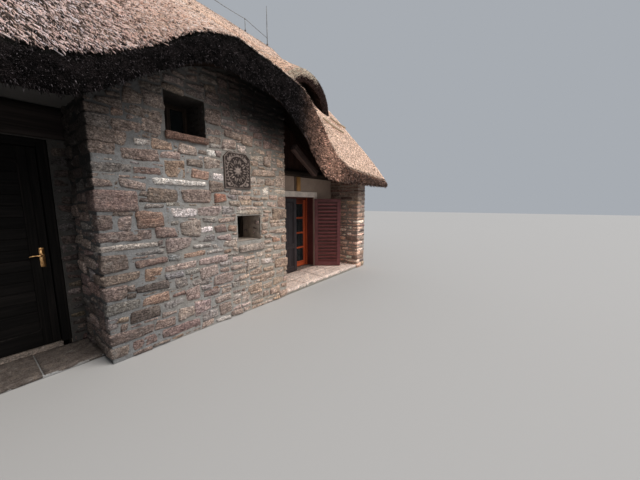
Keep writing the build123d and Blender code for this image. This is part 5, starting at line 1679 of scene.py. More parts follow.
def hood(xc, name, node, mirror=False):
    """Dormer hood: a thick arched roll of thatch that dies into the slope."""
    nt_, na = 26, 44
    b = Build()
    ang = np.linspace(0, math.pi, na)
    rows_out, rows_in, g_out = [], [], []
    ts = np.linspace(0, 1, nt_)
    y_back, ybi = 3.25, 2.85
    pz = float(plain(np.array(3.25)))
    for t in ts:
        y = 1.20 + (y_back - 1.20) * t
        hw = 0.95 + (0.42 - 0.95) * t
        base = 4.35 + (pz - 0.45 - 4.35) * t
        crest = 5.27 + (pz + 0.03 - 5.27) * t
        x = xc + hw * np.cos(ang)
        z = base + (crest - base) * np.sin(ang) ** 0.9
        # sink below the slope at the feet
        floor_ = plain(np.array(y)) - 0.10
        z = np.maximum(z, floor_)
        # feet flare into the slope
        foot = (1 - np.clip(np.sin(ang) * 2.2, 0, 1)) ** 2
        x = x + np.sign(np.cos(ang)) * foot * 0.10
        rows_out.append(np.stack([x, y + 0 * x, z], -1))
        g_out.append(np.stack([x * 0.7 + 3 * ang, 0 * x + y * 1.41, 0 * x + 7], -1))
    O = np.stack(rows_out, 0)
    nrm = grid_normals(O)
    ctr = np.array([xc, 2.2, 4.6])
    sgn = np.sign((nrm * (O - ctr)).sum(-1, keepdims=True))
    nrm = nrm * sgn
    G = np.stack(g_out, 0)
    O = displace_top(O, nrm, G, 15, 1.0)
    # rim: rolls from the outer to the inner arch
    rim = []
    for s in np.linspace(0, 1, 9)[1:]:
        hw = 0.95 + (0.69 - 0.95) * s
        top = 5.27 + (4.95 - 5.27) * s
        base = 4.35 - 0.05 * s
        yy = 1.20 - 0.045 * math.sin(math.pi * s)
        x = xc + hw * np.cos(ang)
        z = np.maximum(base + (top - base) * np.sin(ang) ** 0.9, plain(np.array(yy)) - 0.10)
        w = 0.014 * fbm(np.stack([x * 12, 0 * x + s * 5, z * 12], -1), 99, 3)
        foot = (1 - np.clip(np.sin(ang) * 2.2, 0, 1)) ** 2 * (1 - s)
        rim.append(np.stack([x + np.sign(np.cos(ang)) * foot * 0.10, yy + w, z + w], -1))
    R = np.stack(rim, 0)
    inner = []
    for t in np.linspace(0, 1, 8)[1:]:
        y = 1.20 + (ybi - 1.20) * t
        hw = 0.69 + (0.36 - 0.69) * t
        base = 4.30 + (5.55 - 4.30) * t
        top = 4.95 + (6.08 - 4.95) * t
        x = xc + hw * np.cos(ang)
        z = np.maximum(base + (top - base) * np.sin(ang) ** 0.9, plain(np.array(y)) - 0.10)
        inner.append(np.stack([x, y + 0 * x, z], -1))
    I = np.stack(inner, 0)
    P = np.concatenate([O[::-1], R, I], 0)
    GG = np.concatenate([G[::-1], R * 1.0, I * 1.0], 0)
    tint = np.ones(P.shape)
    # the roll's back is lightened a little as painted light
    tint[:nt_] = TAN * np.array([1.12, 1.06, 1.0])
    # rim_lit is painted sunlight on the rim's upper side; rim_dark_ is painted shade on the rest of the rim
    rim_lit = smoothstep(0.62, 0.20, np.linspace(0, 1, 9)[1:])[:, None] * smoothstep(0.95, 1.45, ang)[None, :]
    rim_dark_ = srgb(66, 54, 53) * (0.35 + 1.3 * smoothstep(-0.3, 0.4, fbm(R * 24, 435, 3)))[..., None]
    tint[nt_:nt_ + len(R)] = rim_dark_ * (1 - rim_lit[..., None]) + TAN * np.array([1.30, 1.22, 1.14]) * rim_lit[..., None]
    tint[nt_ + len(R):] = srgb(48, 40, 36)
    nu = P.shape[0]
    q = grid_quads(nu, na)
    rowi = q[:, 0] // na
    kind = np.where(rowi < nt_ - 1, 0, 1)
    if mirror:
        P = P.copy()
        P[..., 1] = 8.0 - P[..., 1]
        q = q[:, ::-1]
    b.add(P, quads=q[:, ::-1], tint=tint.reshape(-1, 3), gco=GG.reshape(-1, 3), mat=kind)
    # reed ends over the rim, painted gold where the sun falls and dull in the shade
    r = rng(88 + int(mirror))
    n = 2000 if mirror else 6500
    s, a = r.random(n), math.pi * (0.04 + 0.92 * r.random(n))
    lit_rim = smoothstep(0.80, 0.35, s) * smoothstep(0.95, 1.45, a)
    hw = 0.95 + (0.69 - 0.95) * s
    top = 5.27 + (4.95 - 5.27) * s
    x = xc + hw * np.cos(a)
    z = 4.35 - 0.05 * s + (top - 4.35 + 0.05 * s) * np.sin(a) ** 0.9
    y = 1.20 - 0.045 * np.sin(np.pi * s)
    keep = z > plain(y) - 0.02
    x, y, z, lit_rim = x[keep], y[keep], z[keep], lit_rim[keep]
    n = len(x)
    p = np.stack([x, y, z], -1)
    d = np.stack([r.normal(0, 0.35, n), -np.ones(n), -0.25 + r.normal(0, 0.35, n)], -1)
    d /= np.linalg.norm(d, axis=-1, keepdims=True)
    a1 = np.cross(d, np.array([0.3, 0.1, 1.0]))
    a1 /= np.linalg.norm(a1, axis=-1, keepdims=True)
    a2 = np.cross(d, a1)
    W = (0.0095 * r.uniform(0.6, 1.5, n))[:, None]
    Lr = (0.018 + 0.030 * r.random(n))[:, None]
    tail = p - d * 0.01
    V = np.stack([tail + a1 * W, tail - a1 * W * 0.6 + a2 * W, tail - a1 * W * 0.6 - a2 * W, p + d * Lr], 1).reshape(-1, 3)
    bs = (np.arange(n) * 4)[:, None]
    T = np.concatenate([bs + np.array([[0, 1, 3]]), bs + np.array([[1, 2, 3]]), bs + np.array([[2, 0, 3]]), bs + np.array([[0, 2, 1]])])
    if mirror:
        V = V.copy()
        V[:, 1] = 8.0 - V[:, 1]
        T = T[:, ::-1]
    dull = srgb(104, 86, 84) * (0.16 + 1.25 * r.random(n) ** 2.2)[:, None]
    gold = np.clip(TAN * np.where(r.random(n) < 0.30, r.uniform(0.2, 0.6, n), r.uniform(1.15, 1.55, n))[:, None], 0, 0.93)
    tt = np.where((r.random(n) < lit_rim)[:, None], gold, dull)
    b.add(V, tris=T, tint=np.repeat(tt[:, None], 4, 1).reshape(-1, 3), mat=2)
    # short reed ends on the back of the roll
    n = 1000 if mirror else 3600
    fi, fj = r.uniform(0.0, nt_ - 1.01, n), r.uniform(1.0, na - 2.01, n)
    i0, j0 = fi.astype(int), fj.astype(int)
    wi, wj = (fi - i0)[:, None], (fj - j0)[:, None]

    def between(A):
        return (A[i0, j0] * (1 - wi) + A[i0 + 1, j0] * wi) * (1 - wj) + (A[i0, j0 + 1] * (1 - wi) + A[i0 + 1, j0 + 1] * wi) * wj

    p, nn = between(O), between(nrm)
    nn = nn / np.linalg.norm(nn, axis=-1, keepdims=True)
    down = O[np.maximum(i0 - 1, 0), j0] - O[i0 + 1, j0]
    down = down - (down * nn).sum(-1, keepdims=True) * nn
    down = down / np.maximum(np.linalg.norm(down, axis=-1, keepdims=True), 1e-9)
    keep = (p[:, 2] > plain(p[:, 1]) + 0.03)
    p, nn, down = p[keep], nn[keep], down[keep]
    n = len(p)
    tt = np.array(REED)[r.integers(0, len(REED), n)] * np.where(r.random(n) < 0.38, r.uniform(0.10, 0.5, n), r.uniform(0.9, 1.25, n))[:, None]
    c = Build()
    if mirror:
        p, nn, down = (v * np.array([1.0, -1.0, 1.0]) for v in (p, nn, down))
        p = p + np.array([0.0, 8.0, 0.0])
    slope_strokes(c, p, nn, down, 0.085, 0.0145, r, np.clip(tt, 0, 0.93), lift=0.009, spread=0.3)
    c.make(name + "_reeds", [M_REED])
    b.make(name, [M_TOP, M_EDGE, M_REED], replaces=[node])


hood(5.0, "dormer_roll", "dormer_hood")
hood(1.405, "rear_dormer_roll", "rear_dormer_hood", mirror=True)

# ---------------------------------------------------------------------------
# sweeps, tubes and slabs
# ---------------------------------------------------------------------------
def rounded_rect(x0, x1, z0, z1, r, n=6):
    pts = []
    for cx, cz, a0 in ((x1 - r, z0 + r, -90), (x1 - r, z1 - r, 0), (x0 + r, z1 - r, 90), (x0 + r, z0 + r, 180)):
        for k in range(n + 1):
            a = math.radians(a0 + 90 * k / n)
            pts.append((cx + r * math.cos(a), cz + r * math.sin(a)))
    return pts


def sweep_xz(b, pts, prof, y, closed=True, tint=(1, 1, 1), mat=0, turn=None):
    """Carries a closed profile (offset in the plane, depth) along (x, z)."""
    P = np.array(pts, float)
    n, k = len(P), len(prof)
    nxt, prv = np.roll(P, -1, 0), np.roll(P, 1, 0)
    if not closed:
        nxt[-1], prv[0] = 2 * P[-1] - P[-2], 2 * P[0] - P[1]
    d = nxt - prv
    d /= np.linalg.norm(d, axis=1, keepdims=True)
    nor = np.stack([d[:, 1], -d[:, 0]], 1)
    pr = np.array(prof, float)
    V = np.empty((n, k, 3))
    V[..., 0] = P[:, None, 0] + nor[:, None, 0] * pr[None, :, 0]
    V[..., 2] = P[:, None, 1] + nor[:, None, 1] * pr[None, :, 0]
    V[..., 1] = y + pr[None, :, 1]
    quads = []
    for i in range(n if closed else n - 1):
        j = (i + 1) % n
        for a in range(k):
            c = (a + 1) % k
            quads.append((i * k + a, j * k + a, j * k + c, i * k + c))
    area2 = sum(pr[a][0] * pr[(a + 1) % k][1] - pr[(a + 1) % k][0] * pr[a][1] for a in range(k))
    q = np.array(quads)
    if area2 > 0:
        q = q[:, ::-1]
    s = np.concatenate([[0], np.cumsum(np.linalg.norm(np.diff(P, axis=0), axis=1))])
    g = np.stack([np.repeat(s[:, None], k, 1), np.repeat(pr[None, :, 0], n, 0), np.repeat(pr[None, :, 1], n, 0)], -1)
    v = V.reshape(-1, 3)
    b.add(v if turn is None else turn(v), quads=q, tint=tint, gco=g.reshape(-1, 3), mat=mat)


def plate_xz(b, outline, y_back, y_front, ch=0.002, tint=(1, 1, 1), mat=0, turn=None):
    """Flat plate with an eased front edge, facing -Y."""
    P = np.array(outline, float)
    n = len(P)
    c = P.mean(0)
    size = np.abs(P - c).max()
    inner = c + (P - c) * (1 - ch / size)
    rings = [(P, y_back), (P, y_front + ch), (inner, y_front)]
    V = np.concatenate([np.stack([r[:, 0], np.full(n, y), r[:, 1]], 1) for r, y in rings])
    quads = []
    for a in range(2):
        for i in range(n):
            j = (i + 1) % n
            quads.append((a * n + i, a * n + j, (a + 1) * n + j, (a + 1) * n + i))
    polys = [[2 * n + i for i in range(n)], [i for i in range(n)][::-1]]
    b.add(V if turn is None else turn(V), quads=quads, polys=polys, tint=tint, mat=mat, gco=V * 1.0)


def tube(b, path, radii, seg=12, tint=(1, 1, 1), mat=0, dome=True):
    """Round bar along a path, with eased ends."""
    P = np.array(path, float)
    R = np.broadcast_to(np.array(radii, float), (len(P),)).copy()
    if dome:
        d0, d1 = P[1] - P[0], P[-1] - P[-2]
        d0, d1 = d0 / np.linalg.norm(d0), d1 / np.linalg.norm(d1)
        e0, e1 = R[0], R[-1]
        P = np.concatenate([[P[0]], [P[0] + d0 * e0 * 0.12], [P[0] + d0 * e0 * 0.45], P[1:-1], [P[-1] - d1 * e1 * 0.45], [P[-1] - d1 * e1 * 0.12], [P[-1]]])
        R = np.concatenate([[e0 * 0.45], [e0 * 0.8], [e0], R[1:-1], [e1], [e1 * 0.8], [e1 * 0.45]])
    n = len(P)
    T = np.gradient(P, axis=0)
    T /= np.linalg.norm(T, axis=1, keepdims=True)
    up = np.array([0, 0, 1.0]) if abs(T[0][2]) < 0.9 else np.array([1.0, 0, 0])
    A = np.empty_like(P)
    a = np.cross(T[0], up)
    a /= np.linalg.norm(a)
    for i in range(n):
        a = a - T[i] * np.dot(a, T[i])
        a /= np.linalg.norm(a)
        A[i] = a
    B = np.cross(T, A)
    ang = np.linspace(0, 2 * math.pi, seg, endpoint=False)
    V = P[:, None] + R[:, None, None] * (np.cos(ang)[None, :, None] * A[:, None] + np.sin(ang)[None, :, None] * B[:, None])
    quads = []
    for i in range(n - 1):
        for k in range(seg):
            m = (k + 1) % seg
            quads.append((i * seg + k, i * seg + m, (i + 1) * seg + m, (i + 1) * seg + k))
    polys = [[k for k in range(seg)][::-1], [(n - 1) * seg + k for k in range(seg)]]
    s = np.concatenate([[0], np.cumsum(np.linalg.norm(np.diff(P, axis=0), axis=1))])
    g = np.stack([np.repeat(s[:, None], seg, 1), np.cos(ang)[None] * R[:, None], np.sin(ang)[None] * R[:, None]], -1)
    b.add(V.reshape(-1, 3), quads=quads, polys=polys, tint=tint, gco=g.reshape(-1, 3), mat=mat)


def slab(b, x0, x1, y0, y1, z0, z1, seed, tint, top=None, rag=0.012, step=0.03, amp=0.004, turn=None, mat=0):
    """Stone slab whose front edge (towards -Y) is broken unevenly."""
    h = z1 - z0

    def shape(w):
        w = w.copy()
        t = (w[:, 2] - z0) / h
        if top is not None:
            w[:, 2] = z0 + t * (top(w[:, 1]) - z0)
        fr = smoothstep(0.10, 0.0, w[:, 1] - y0)
        w[:, 1] += rag * fr * (0.4 + fbm(np.stack([w[:, 0] * 9, w[:, 2] * 22, 0 * t + seed], -1), seed, 3))
        w[:, 2] += 0.6 * rag * fr * fbm(np.stack([w[:, 0] * 7, 0 * t, 0 * t + seed + 4.0], -1), seed + 1, 2) * (t < 0.5)
        return turn(w) if turn is not None else w

    rough_box(b, x0, x1, y0, y1, z0, z1, step=step, amp=amp, freq=22, seed=seed, tint=tint, turn=shape, round_=0.14, mat=mat)


def turned(xm, ym, deg):
    c, s = math.cos(math.radians(deg)), math.sin(math.radians(deg))

    def f(v):
        o = v.copy()
        o[:, 0] = xm + v[:, 0] * c - v[:, 1] * s
        o[:, 1] = ym + v[:, 0] * s + v[:, 1] * c
        return o

    return f


def swung(ax, ay, deg):
    """Rotation about an upright hinge line."""
    c, s = math.cos(math.radians(deg)), math.sin(math.radians(deg))

    def f(v):
        o = v.copy()
        dx, dy = v[:, 0] - ax, v[:, 1] - ay
        o[:, 0] = ax + dx * c - dy * s
        o[:, 1] = ay + dx * s + dy * c
        return o

    return f


# ---------------------------------------------------------------------------
# windows: frames, reveals, sills
# ---------------------------------------------------------------------------
def window_wood(b, x0, x1, z0, z1, y0, y1, bar=0.045, turn=None, seed=0):
    ym = (y0 + y1) / 2
    xm = (x0 + x1) / 2
    cbox(b, x0, x0 + bar, y0, y1, z0, z1, 0.004, grain="z", seed=seed, turn=turn)
    cbox(b, x1 - bar, x1, y0, y1, z0, z1, 0.004, grain="z", seed=seed + 1, turn=turn)
    cbox(b, x0 + bar, x1 - bar, y0 + 0.001, y1 - 0.001, z1 - bar, z1, 0.004, grain="x", seed=seed + 2, turn=turn)
    cbox(b, x0 + bar, x1 - bar, y0 + 0.001, y1 - 0.001, z0, z0 + bar, 0.004, grain="x", seed=seed + 3, turn=turn)
    cbox(b, xm - bar / 2, xm + bar / 2, y0 + 0.002, y1 - 0.002, z0 + bar, z1 - bar, 0.004, grain="z", seed=seed + 4, turn=turn)
    # beads that hold the panes, tinted lighter as a painted highlight
    for a, c in ((x0 + bar, xm - bar / 2), (xm + bar / 2, x1 - bar)):
        for p, q in ((y0 + 0.012, ym - 0.005), (ym + 0.005, y1 - 0.012)):
            t = 0.009
            cbox(b, a, a + t, p, q, z0 + bar, z1 - bar, 0.002, tint=(1.5, 1.5, 1.5), grain="z", seed=seed, turn=turn)
            cbox(b, c - t, c, p, q, z0 + bar, z1 - bar, 0.002, tint=(1.5, 1.5, 1.5), grain="z", seed=seed, turn=turn)
            cbox(b, a + t, c - t, p, q, z0 + bar, z0 + bar + t, 0.002, tint=(1.5, 1.5, 1.5), grain="x", seed=seed, turn=turn)
            cbox(b, a + t, c - t, p, q, z1 - bar - t, z1 - bar, 0.002, tint=(1.5, 1.5, 1.5), grain="x", seed=seed, turn=turn)


b = Build()
window_wood(b, *UW[:2], *UW[2:], 0.47, 0.53, seed=3)
window_wood(b, *LW[:2], *LW[2:], 0.47, 0.53, seed=9)
b.make("bay_casements", [M_DARK], replaces=["bay_window_frames"], smooth=False)

b = Build()
for i, xc in enumerate((-1.9, 0.35, 2.45, 4.55)):
    window_wood(b, xc - 0.30, xc + 0.30, 1.05, 1.70, 7.72, 7.78, seed=20 + i)
for x_out, sgn in ((-3.28, -1), (6.09, 1)):
    for z0, z1 in ((1.15, 1.75), (3.30, 3.90)):
        window_wood(b, -0.28, 0.28, z0, z1, -0.03, 0.03, turn=turned(x_out - sgn * 0.25, 4.0, 90), seed=30)
b.make("side_casements", [M_DARK], replaces=["side_window_frames"], smooth=False)

# stones of the reveals: the upper ones darkened as painted shade, the lower ones and the lower mortar skin lightened as
# painted light
for k, (w, sd) in enumerate(((UW, 201), (LW, 211))):
    b = Build()
    for path in (Path([(w[0], 0.012), (w[0], 0.46)]), Path([(w[1], 0.46), (w[1], 0.012)])):
        part = course_stones(0.448, lambda u: 0 * np.asarray(u) + (w[3] - w[2]), [], [], sd, MIX_BAY, hmin=0.06, hmax=0.11, wmin=0.10, wmax=0.26)
        part = [(s[0], s[1], s[2] + w[2], s[3] + w[2], *s[4:]) for s in part]
        part = [(*s[:4], *(np.array(s[4:7]) * (0.15, 1.5)[k]), s[7]) for s in part]
        stones_to(b, path, part, sd, fine=0.8, base_prot=0.004)
        sd += 3
    if k:
        gy, gz = np.linspace(0.010, 0.462, 24), np.linspace(w[2], w[3], 22)
        Y, Z = np.meshgrid(gy, gz, indexing="ij")
        dd = 0.004 + 0.005 * fbm(np.stack([Y * 14, Z * 14, 0 * Y], -1), 221, 3)
        for xw, sg in ((w[1], -1), (w[0], 1)):
            q = grid_quads(24, 22, flip=sg > 0)
            b.add(np.stack([xw + sg * dd, Y, Z], -1), quads=q, tint=(1.35, 1.22, 1.14), mat=1)
        gx, gy = np.linspace(w[0], w[1], 22), np.linspace(0.010, 0.462, 24)
        X, Y = np.meshgrid(gx, gy, indexing="ij")
        dd = 0.003 + 0.004 * fbm(np.stack([X * 14, Y * 14, 0 * Y + 3], -1), 223, 3)
        b.add(np.stack([X, Y, w[2] + dd], -1), quads=grid_quads(22, 24), tint=(1.35, 1.24, 1.18), mat=1)
    b.make(("upper", "lower")[k] + "_reveal_stones", [M_STONE, M_MORTAR_T])

b = Build()
slab(b, 0.735, 1.295, -0.062, 0.25, 2.600, 2.690, 301, srgb(104, 85, 77), rag=0.022, amp=0.006, step=0.02)
slab(b, 1.745, 2.265, -0.062, 0.30, 1.020, 1.200, 303, srgb(142, 133, 127), rag=0.016, amp=0.004, step=0.022,
     top=lambda y: np.interp(y, [-0.07, 0.05, 0.30], [1.10, 1.17, 1.20]))
b.make("bay_sill_slabs", [M_SILL], replaces=["bay_window_sills"])

b = Build()
for i, xc in enumerate((-1.9, 0.35, 2.45, 4.55)):
    slab(b, -0.34, 0.34, -0.06, 0.02, 0.96, 1.05, 311 + i, srgb(150, 128, 114), turn=turned(xc, 8.0, 180))
for x_out, deg in ((-3.28, -90), (6.09, 90)):
    for j, z0 in enumerate((1.15, 3.30)):
        slab(b, -0.32, 0.32, -0.06, 0.02, z0 - 0.09, z0, 321 + j, srgb(146, 122, 110), turn=turned(x_out, 4.0, deg))
b.make("side_sill_slabs", [M_SILL], replaces=["side_window_sills"])


# ---------------------------------------------------------------------------
# entrance
# ---------------------------------------------------------------------------
b = Build()
for x0, x1 in ((-1.27, -1.18), (-0.26, -0.17)):
    cbox(b, x0, x1, 0.90, 0.97, 0.012, 2.53, 0.006, grain="z", seed=41)
cbox(b, -1.18, -0.26, 0.90, 0.97, 2.44, 2.53, 0.006, grain="x", seed=42)
# stop and cover strip
for x0, x1 in ((-1.262, -1.238), (-0.202, -0.178)):
    cbox(b, x0, x1, 0.892, 0.90, 0.012, 2.50, 0.003, tint=(1.3, 1.3, 1.3), grain="z", seed=43)
cbox(b, -1.262, -0.178, 0.892, 0.90, 2.498, 2.522, 0.003, tint=(1.3, 1.3, 1.3), grain="x", seed=44)
b.make("entry_frame_timber", [M_DOOR], replaces=["entry_door_frame"], smooth=False)

b = Build()
LX0, LX1, LZ0, LZ1 = -1.175, -0.268, 0.112, 2.432
PX0, PX1, PZ0, PZ1 = LX0 + 0.15, LX1 - 0.15, 0.292, 2.27
for x0, x1 in ((LX0, PX0), (PX1, LX1)):
    # a stile of two boards
    xm = (x0 + x1) / 2
    for i, (a, c) in enumerate(((x0, xm - 0.0006), (xm + 0.0006, x1))):
        cbox(b, a, c, 0.925, 0.970, LZ0, LZ1, 0.003, tint=(1, 1, 1), grain="z", seed=50 + i + int(x0 * 10))
for z0, z1 in ((LZ0, PZ0), (PZ1, LZ1)):
    cbox(b, PX0, PX1, 0.9255, 0.9695, z0, z1, 0.003, grain="x", seed=54)
n_boards = 16
for i in range(n_boards):
    a, c = PZ0 + (PZ1 - PZ0) * i / n_boards, PZ0 + (PZ1 - PZ0) * (i + 1) / n_boards
    k = 1 + 0.25 * math.sin(i * 2.4)
    cbox(b, PX0 - 0.004, PX1 + 0.004, 0.9375, 0.9575, a + 0.0006, c - 0.0006, 0.0045, tint=(k, k, k), grain="x", seed=60 + i)
mould = [(-0.012, 0.0), (-0.009, -0.006), (0.0, -0.009), (0.009, -0.006), (0.013, 0.0), (0.013, 0.008), (-0.012, 0.008)]
for face, fl_ in ((0.929, 1), (0.966, -1)):
    pr = [(o, q * fl_) for o, q in mould]
    sweep_xz(b, rounded_rect(PX0 - 0.002, PX1 + 0.002, PZ0 - 0.002, PZ1 + 0.002, 0.055), pr, face, tint=(1.35, 1.35, 1.35))
# hinges
for z in (0.42, 1.30, 2.16):
    tube(b, [(-1.180, 0.9745, z), (-1.180, 0.9745, z + 0.05), (-1.180, 0.9745, z + 0.10)], 0.0065, seg=10, tint=(2, 2, 2))
b.make("entry_leaf_boards", [M_DOOR], body="entry_door", replaces=["entry_door_leaf"], smooth=False)

b = Build()
HX = -0.33
plate_xz(b, rounded_rect(HX - 0.024, HX + 0.024, 1.06, 1.29, 0.012), 0.926, 0.9165, 0.003)
plate_xz(b, rounded_rect(HX - 0.018, HX + 0.018, 1.072, 1.278, 0.010), 0.918, 0.9145, 0.0018)
tube(b, [(HX, 0.917, 1.20), (HX, 0.905, 1.20), (HX, 0.902, 1.20)], [0.017, 0.0165, 0.014], seg=20)
lever = [(HX, 0.906, 1.20), (HX, 0.894, 1.20), (HX - 0.002, 0.885, 1.20), (HX - 0.010, 0.879, 1.2005), (HX - 0.022, 0.877, 1.201),
         (HX - 0.045, 0.877, 1.203), (HX - 0.070, 0.878, 1.204), (HX - 0.092, 0.880, 1.202), (HX - 0.104, 0.883, 1.198), (HX - 0.110, 0.886, 1.194)]
tube(b, lever, [0.0085, 0.0085, 0.0085, 0.0088, 0.0086, 0.0080, 0.0082, 0.0086, 0.0084, 0.0075], seg=16)
# lock cylinder and screws
tube(b, [(HX, 0.916, 1.115), (HX, 0.911, 1.115), (HX, 0.909, 1.115)], [0.0085, 0.0085, 0.008], seg=16)
tube(b, [(HX, 0.917, 1.104), (HX, 0.912, 1.104), (HX, 0.9105, 1.104)], [0.0052, 0.0052, 0.005], seg=12)
for z in (1.081, 1.269):
    tube(b, [(HX, 0.916, z), (HX, 0.9135, z), (HX, 0.9125, z)], [0.0042, 0.004, 0.003], seg=10)
b.make("entry_lever_set", [M_BRASS], body="entry_door", replaces=["entry_door_handle"])

b = Build()
# the tint darkens the timber as painted shade of the recess
rough_box(b, -2.88, 0.0, 0.822, 0.90, 2.542, 2.878, step=0.045, amp=0.0045, freq=9, seed=70, tint=(0.42, 0.43, 0.52), grain="x", round_=0.06)
b.make("entry_lintel_timber", [M_DARK], replaces=["entry_lintel_beam"])

b = Build()
cbox(b, -2.88, 0.0, 0.285, 0.90, 0.0, 0.034, 0.003, tint=srgb(120, 112, 104), mat=1)
cut = [-2.88, -2.02, -1.21, -0.52, 0.0]
for i in range(4):
    slab(b, cut[i] + 0.005, cut[i + 1] - 0.005, 0.28, 0.90, 0.004, 0.050, 331 + i, srgb(92, 86, 82) * (0.9 + 0.06 * i), rag=0.006, step=0.05, amp=0.0022)
b.make("entry_floor_flags", [M_FLAG, M_MORTAR], replaces=["entry_floor"])


# ---------------------------------------------------------------------------
# porch
# ---------------------------------------------------------------------------
b = Build()
cbox(b, 2.81, 5.69, 0.008, 0.90, 0.0, 0.086, 0.004, tint=srgb(140, 130, 120), mat=1)
cut = [2.81, 3.44, 4.10, 4.86, 5.69]
for i in range(4):
    for j, (a, c) in enumerate(((0.0, 0.43), (0.44, 0.90))):
        sh = 0.10 * (j and (-1) ** i)
        x0 = cut[i] + (0.0 if i == 0 else sh) + 0.006
        x1 = cut[i + 1] + (0.0 if i == 3 else 0.10 * (j and (-1) ** (i + 1))) - 0.006
        slab(b, x0, min(x1, 5.684), a, c, 0.035, 0.100, 341 + i * 2 + j, srgb(200, 186, 178) * (0.94 + 0.03 * ((i * 3 + j * 5) % 4)), rag=0.010 * (j == 0), step=0.05, amp=0.0025)
b.make("porch_floor_flags", [M_FLAG, M_MORTAR], replaces=["porch_floor"])

# rendered wall: an uneven skin around the doorway
b = Build()
gx = np.unique(np.round(np.concatenate([np.arange(2.815, 5.69, 0.045), [3.31, 4.99, 4.09, 4.17, 4.305, 5.688]]), 4))
gz = np.unique(np.round(np.concatenate([np.arange(0.10, 2.46, 0.045), [2.11, 2.115, 2.458]]), 4))
X, Z = np.meshgrid(gx, gz, indexing="ij")
P = np.stack([X, 0.8955 + 0.0030 * fbm(np.stack([X * 5, Z * 5, 0 * X], -1), 401, 3) + 0.0014 * fbm(np.stack([X * 26, Z * 26, 0 * X], -1), 402, 2), Z], -1)
q = grid_quads(len(gx), len(gz))
ctr = P.reshape(-1, 3)[q].mean(1)
keep = ~((ctr[:, 0] > 3.31) & (ctr[:, 0] < 4.99) & (ctr[:, 2] < 2.11))
keep &= ~((ctr[:, 0] > 4.09) & (ctr[:, 0] < 4.17) & (ctr[:, 2] > 2.11))
b.add(P, quads=q[keep])
b.make("porch_render_skin", [M_CREAM])

b = Build()
cbox(b, 3.31, 3.43, 0.879, 0.8995, 0.10, 1.970, 0.004, grain="z", seed=81)
cbox(b, 4.87, 4.99, 0.879, 0.8995, 0.10, 1.970, 0.004, grain="z", seed=82)
cbox(b, 3.31, 4.99, 0.879, 0.8995, 1.970, 2.110, 0.004, grain="x", seed=83)
for x0, x1 in ((3.314, 3.334), (4.966, 4.986)):
    cbox(b, x0, x1, 0.872, 0.879, 0.10, 2.104, 0.003, grain="z", seed=84)
cbox(b, 3.334, 4.966, 0.872, 0.879, 2.084, 2.104, 0.003, grain="x", seed=85)
b.make("porch_casing_boards", [M_PALE], replaces=["porch_door_casing"], smooth=False)

# dark red-brown lining of the doorway, and the frame of the glazed pair
b = Build()
for x0, x1 in ((3.430, 3.438), (4.862, 4.870)):
    cbox(b, x0, x1, 0.926, 1.118, 0.112, 1.970, 0.002, tint=(0.75, 0.75, 0.75), grain="z", seed=91)
cbox(b, 3.438, 4.862, 0.926, 1.118, 1.962, 1.970, 0.002, tint=(0.75, 0.75, 0.75), grain="x", seed=92)
b.make("porch_lining", [M_REDBROWN], smooth=False)

b = Build()
for x0, x1 in ((3.43, 3.49), (4.81, 4.87)):
    cbox(b, x0, x1, 1.12, 1.185, 0.10, 1.97, 0.005, grain="z", seed=93)
# the top rail is darkened as painted shade
cbox(b, 3.49, 4.81, 1.12, 1.185, 1.91, 1.97, 0.005, tint=(0.22, 0.2, 0.2), grain="x", seed=94)
b.make("glazed_frame_timber", [M_ORANGE], replaces=["glazed_door_frame"], smooth=False)


def glazed_leaf(ax, side, name):
    gw, gz0, gz1 = 0.654, 0.112, 1.902
    a, c = sorted((ax + side * 0.005, ax + side * gw))
    b = Build()
    y0, y1 = 1.14, 1.185
    cbox(b, a, a + 0.085, y0, y1, gz0, gz1, 0.005, grain="z", seed=101)
    cbox(b, c - 0.085, c, y0, y1, gz0, gz1, 0.005, grain="z", seed=102)
    p0, p1 = a + 0.085, c - 0.085
    z0, z1 = gz0 + 0.13, gz1 - 0.09
    cbox(b, p0, p1, y0 + 0.001, y1 - 0.001, gz0, z0, 0.005, grain="x", seed=103)
    # the top rail is darkened as painted shade
    cbox(b, p0, p1, y0 + 0.001, y1 - 0.001, z1, gz1, 0.005, tint=(0.30, 0.27, 0.26), grain="x", seed=104)
    step = (z1 - z0 + 0.03) / 4
    for i in range(4):
        c0 = z0 + i * step
        c1 = c0 + step - 0.03
        if i < 3:
            cbox(b, p0, p1, y0 + 0.003, y1 - 0.003, c1, c1 + 0.03, 0.006, grain="x", seed=105 + i)
        for q0, q1 in ((y0 + 0.008, 1.1590), (1.1660, y1 - 0.008)):
            t = 0.009
            cbox(b, p0, p0 + t, q0, q1, c0, c1, 0.0025, grain="z", seed=i)
            cbox(b, p1 - t, p1, q0, q1, c0, c1, 0.0025, grain="z", seed=i + 1)
            cbox(b, p0 + t, p1 - t, q0, q1, c0, c0 + t, 0.0025, grain="x", seed=i + 2)
            cbox(b, p0 + t, p1 - t, q0, q1, c1 - t, c1, 0.0025, grain="x", seed=i + 3)
    b.make(f"glazed_{name}_joinery", [M_ORANGE], body=f"glazed_{name}",
           replaces=[f"glazed_leaf_{name}"], smooth=False)


glazed_leaf(3.49, 1, "left")
glazed_leaf(4.81, -1, "right")

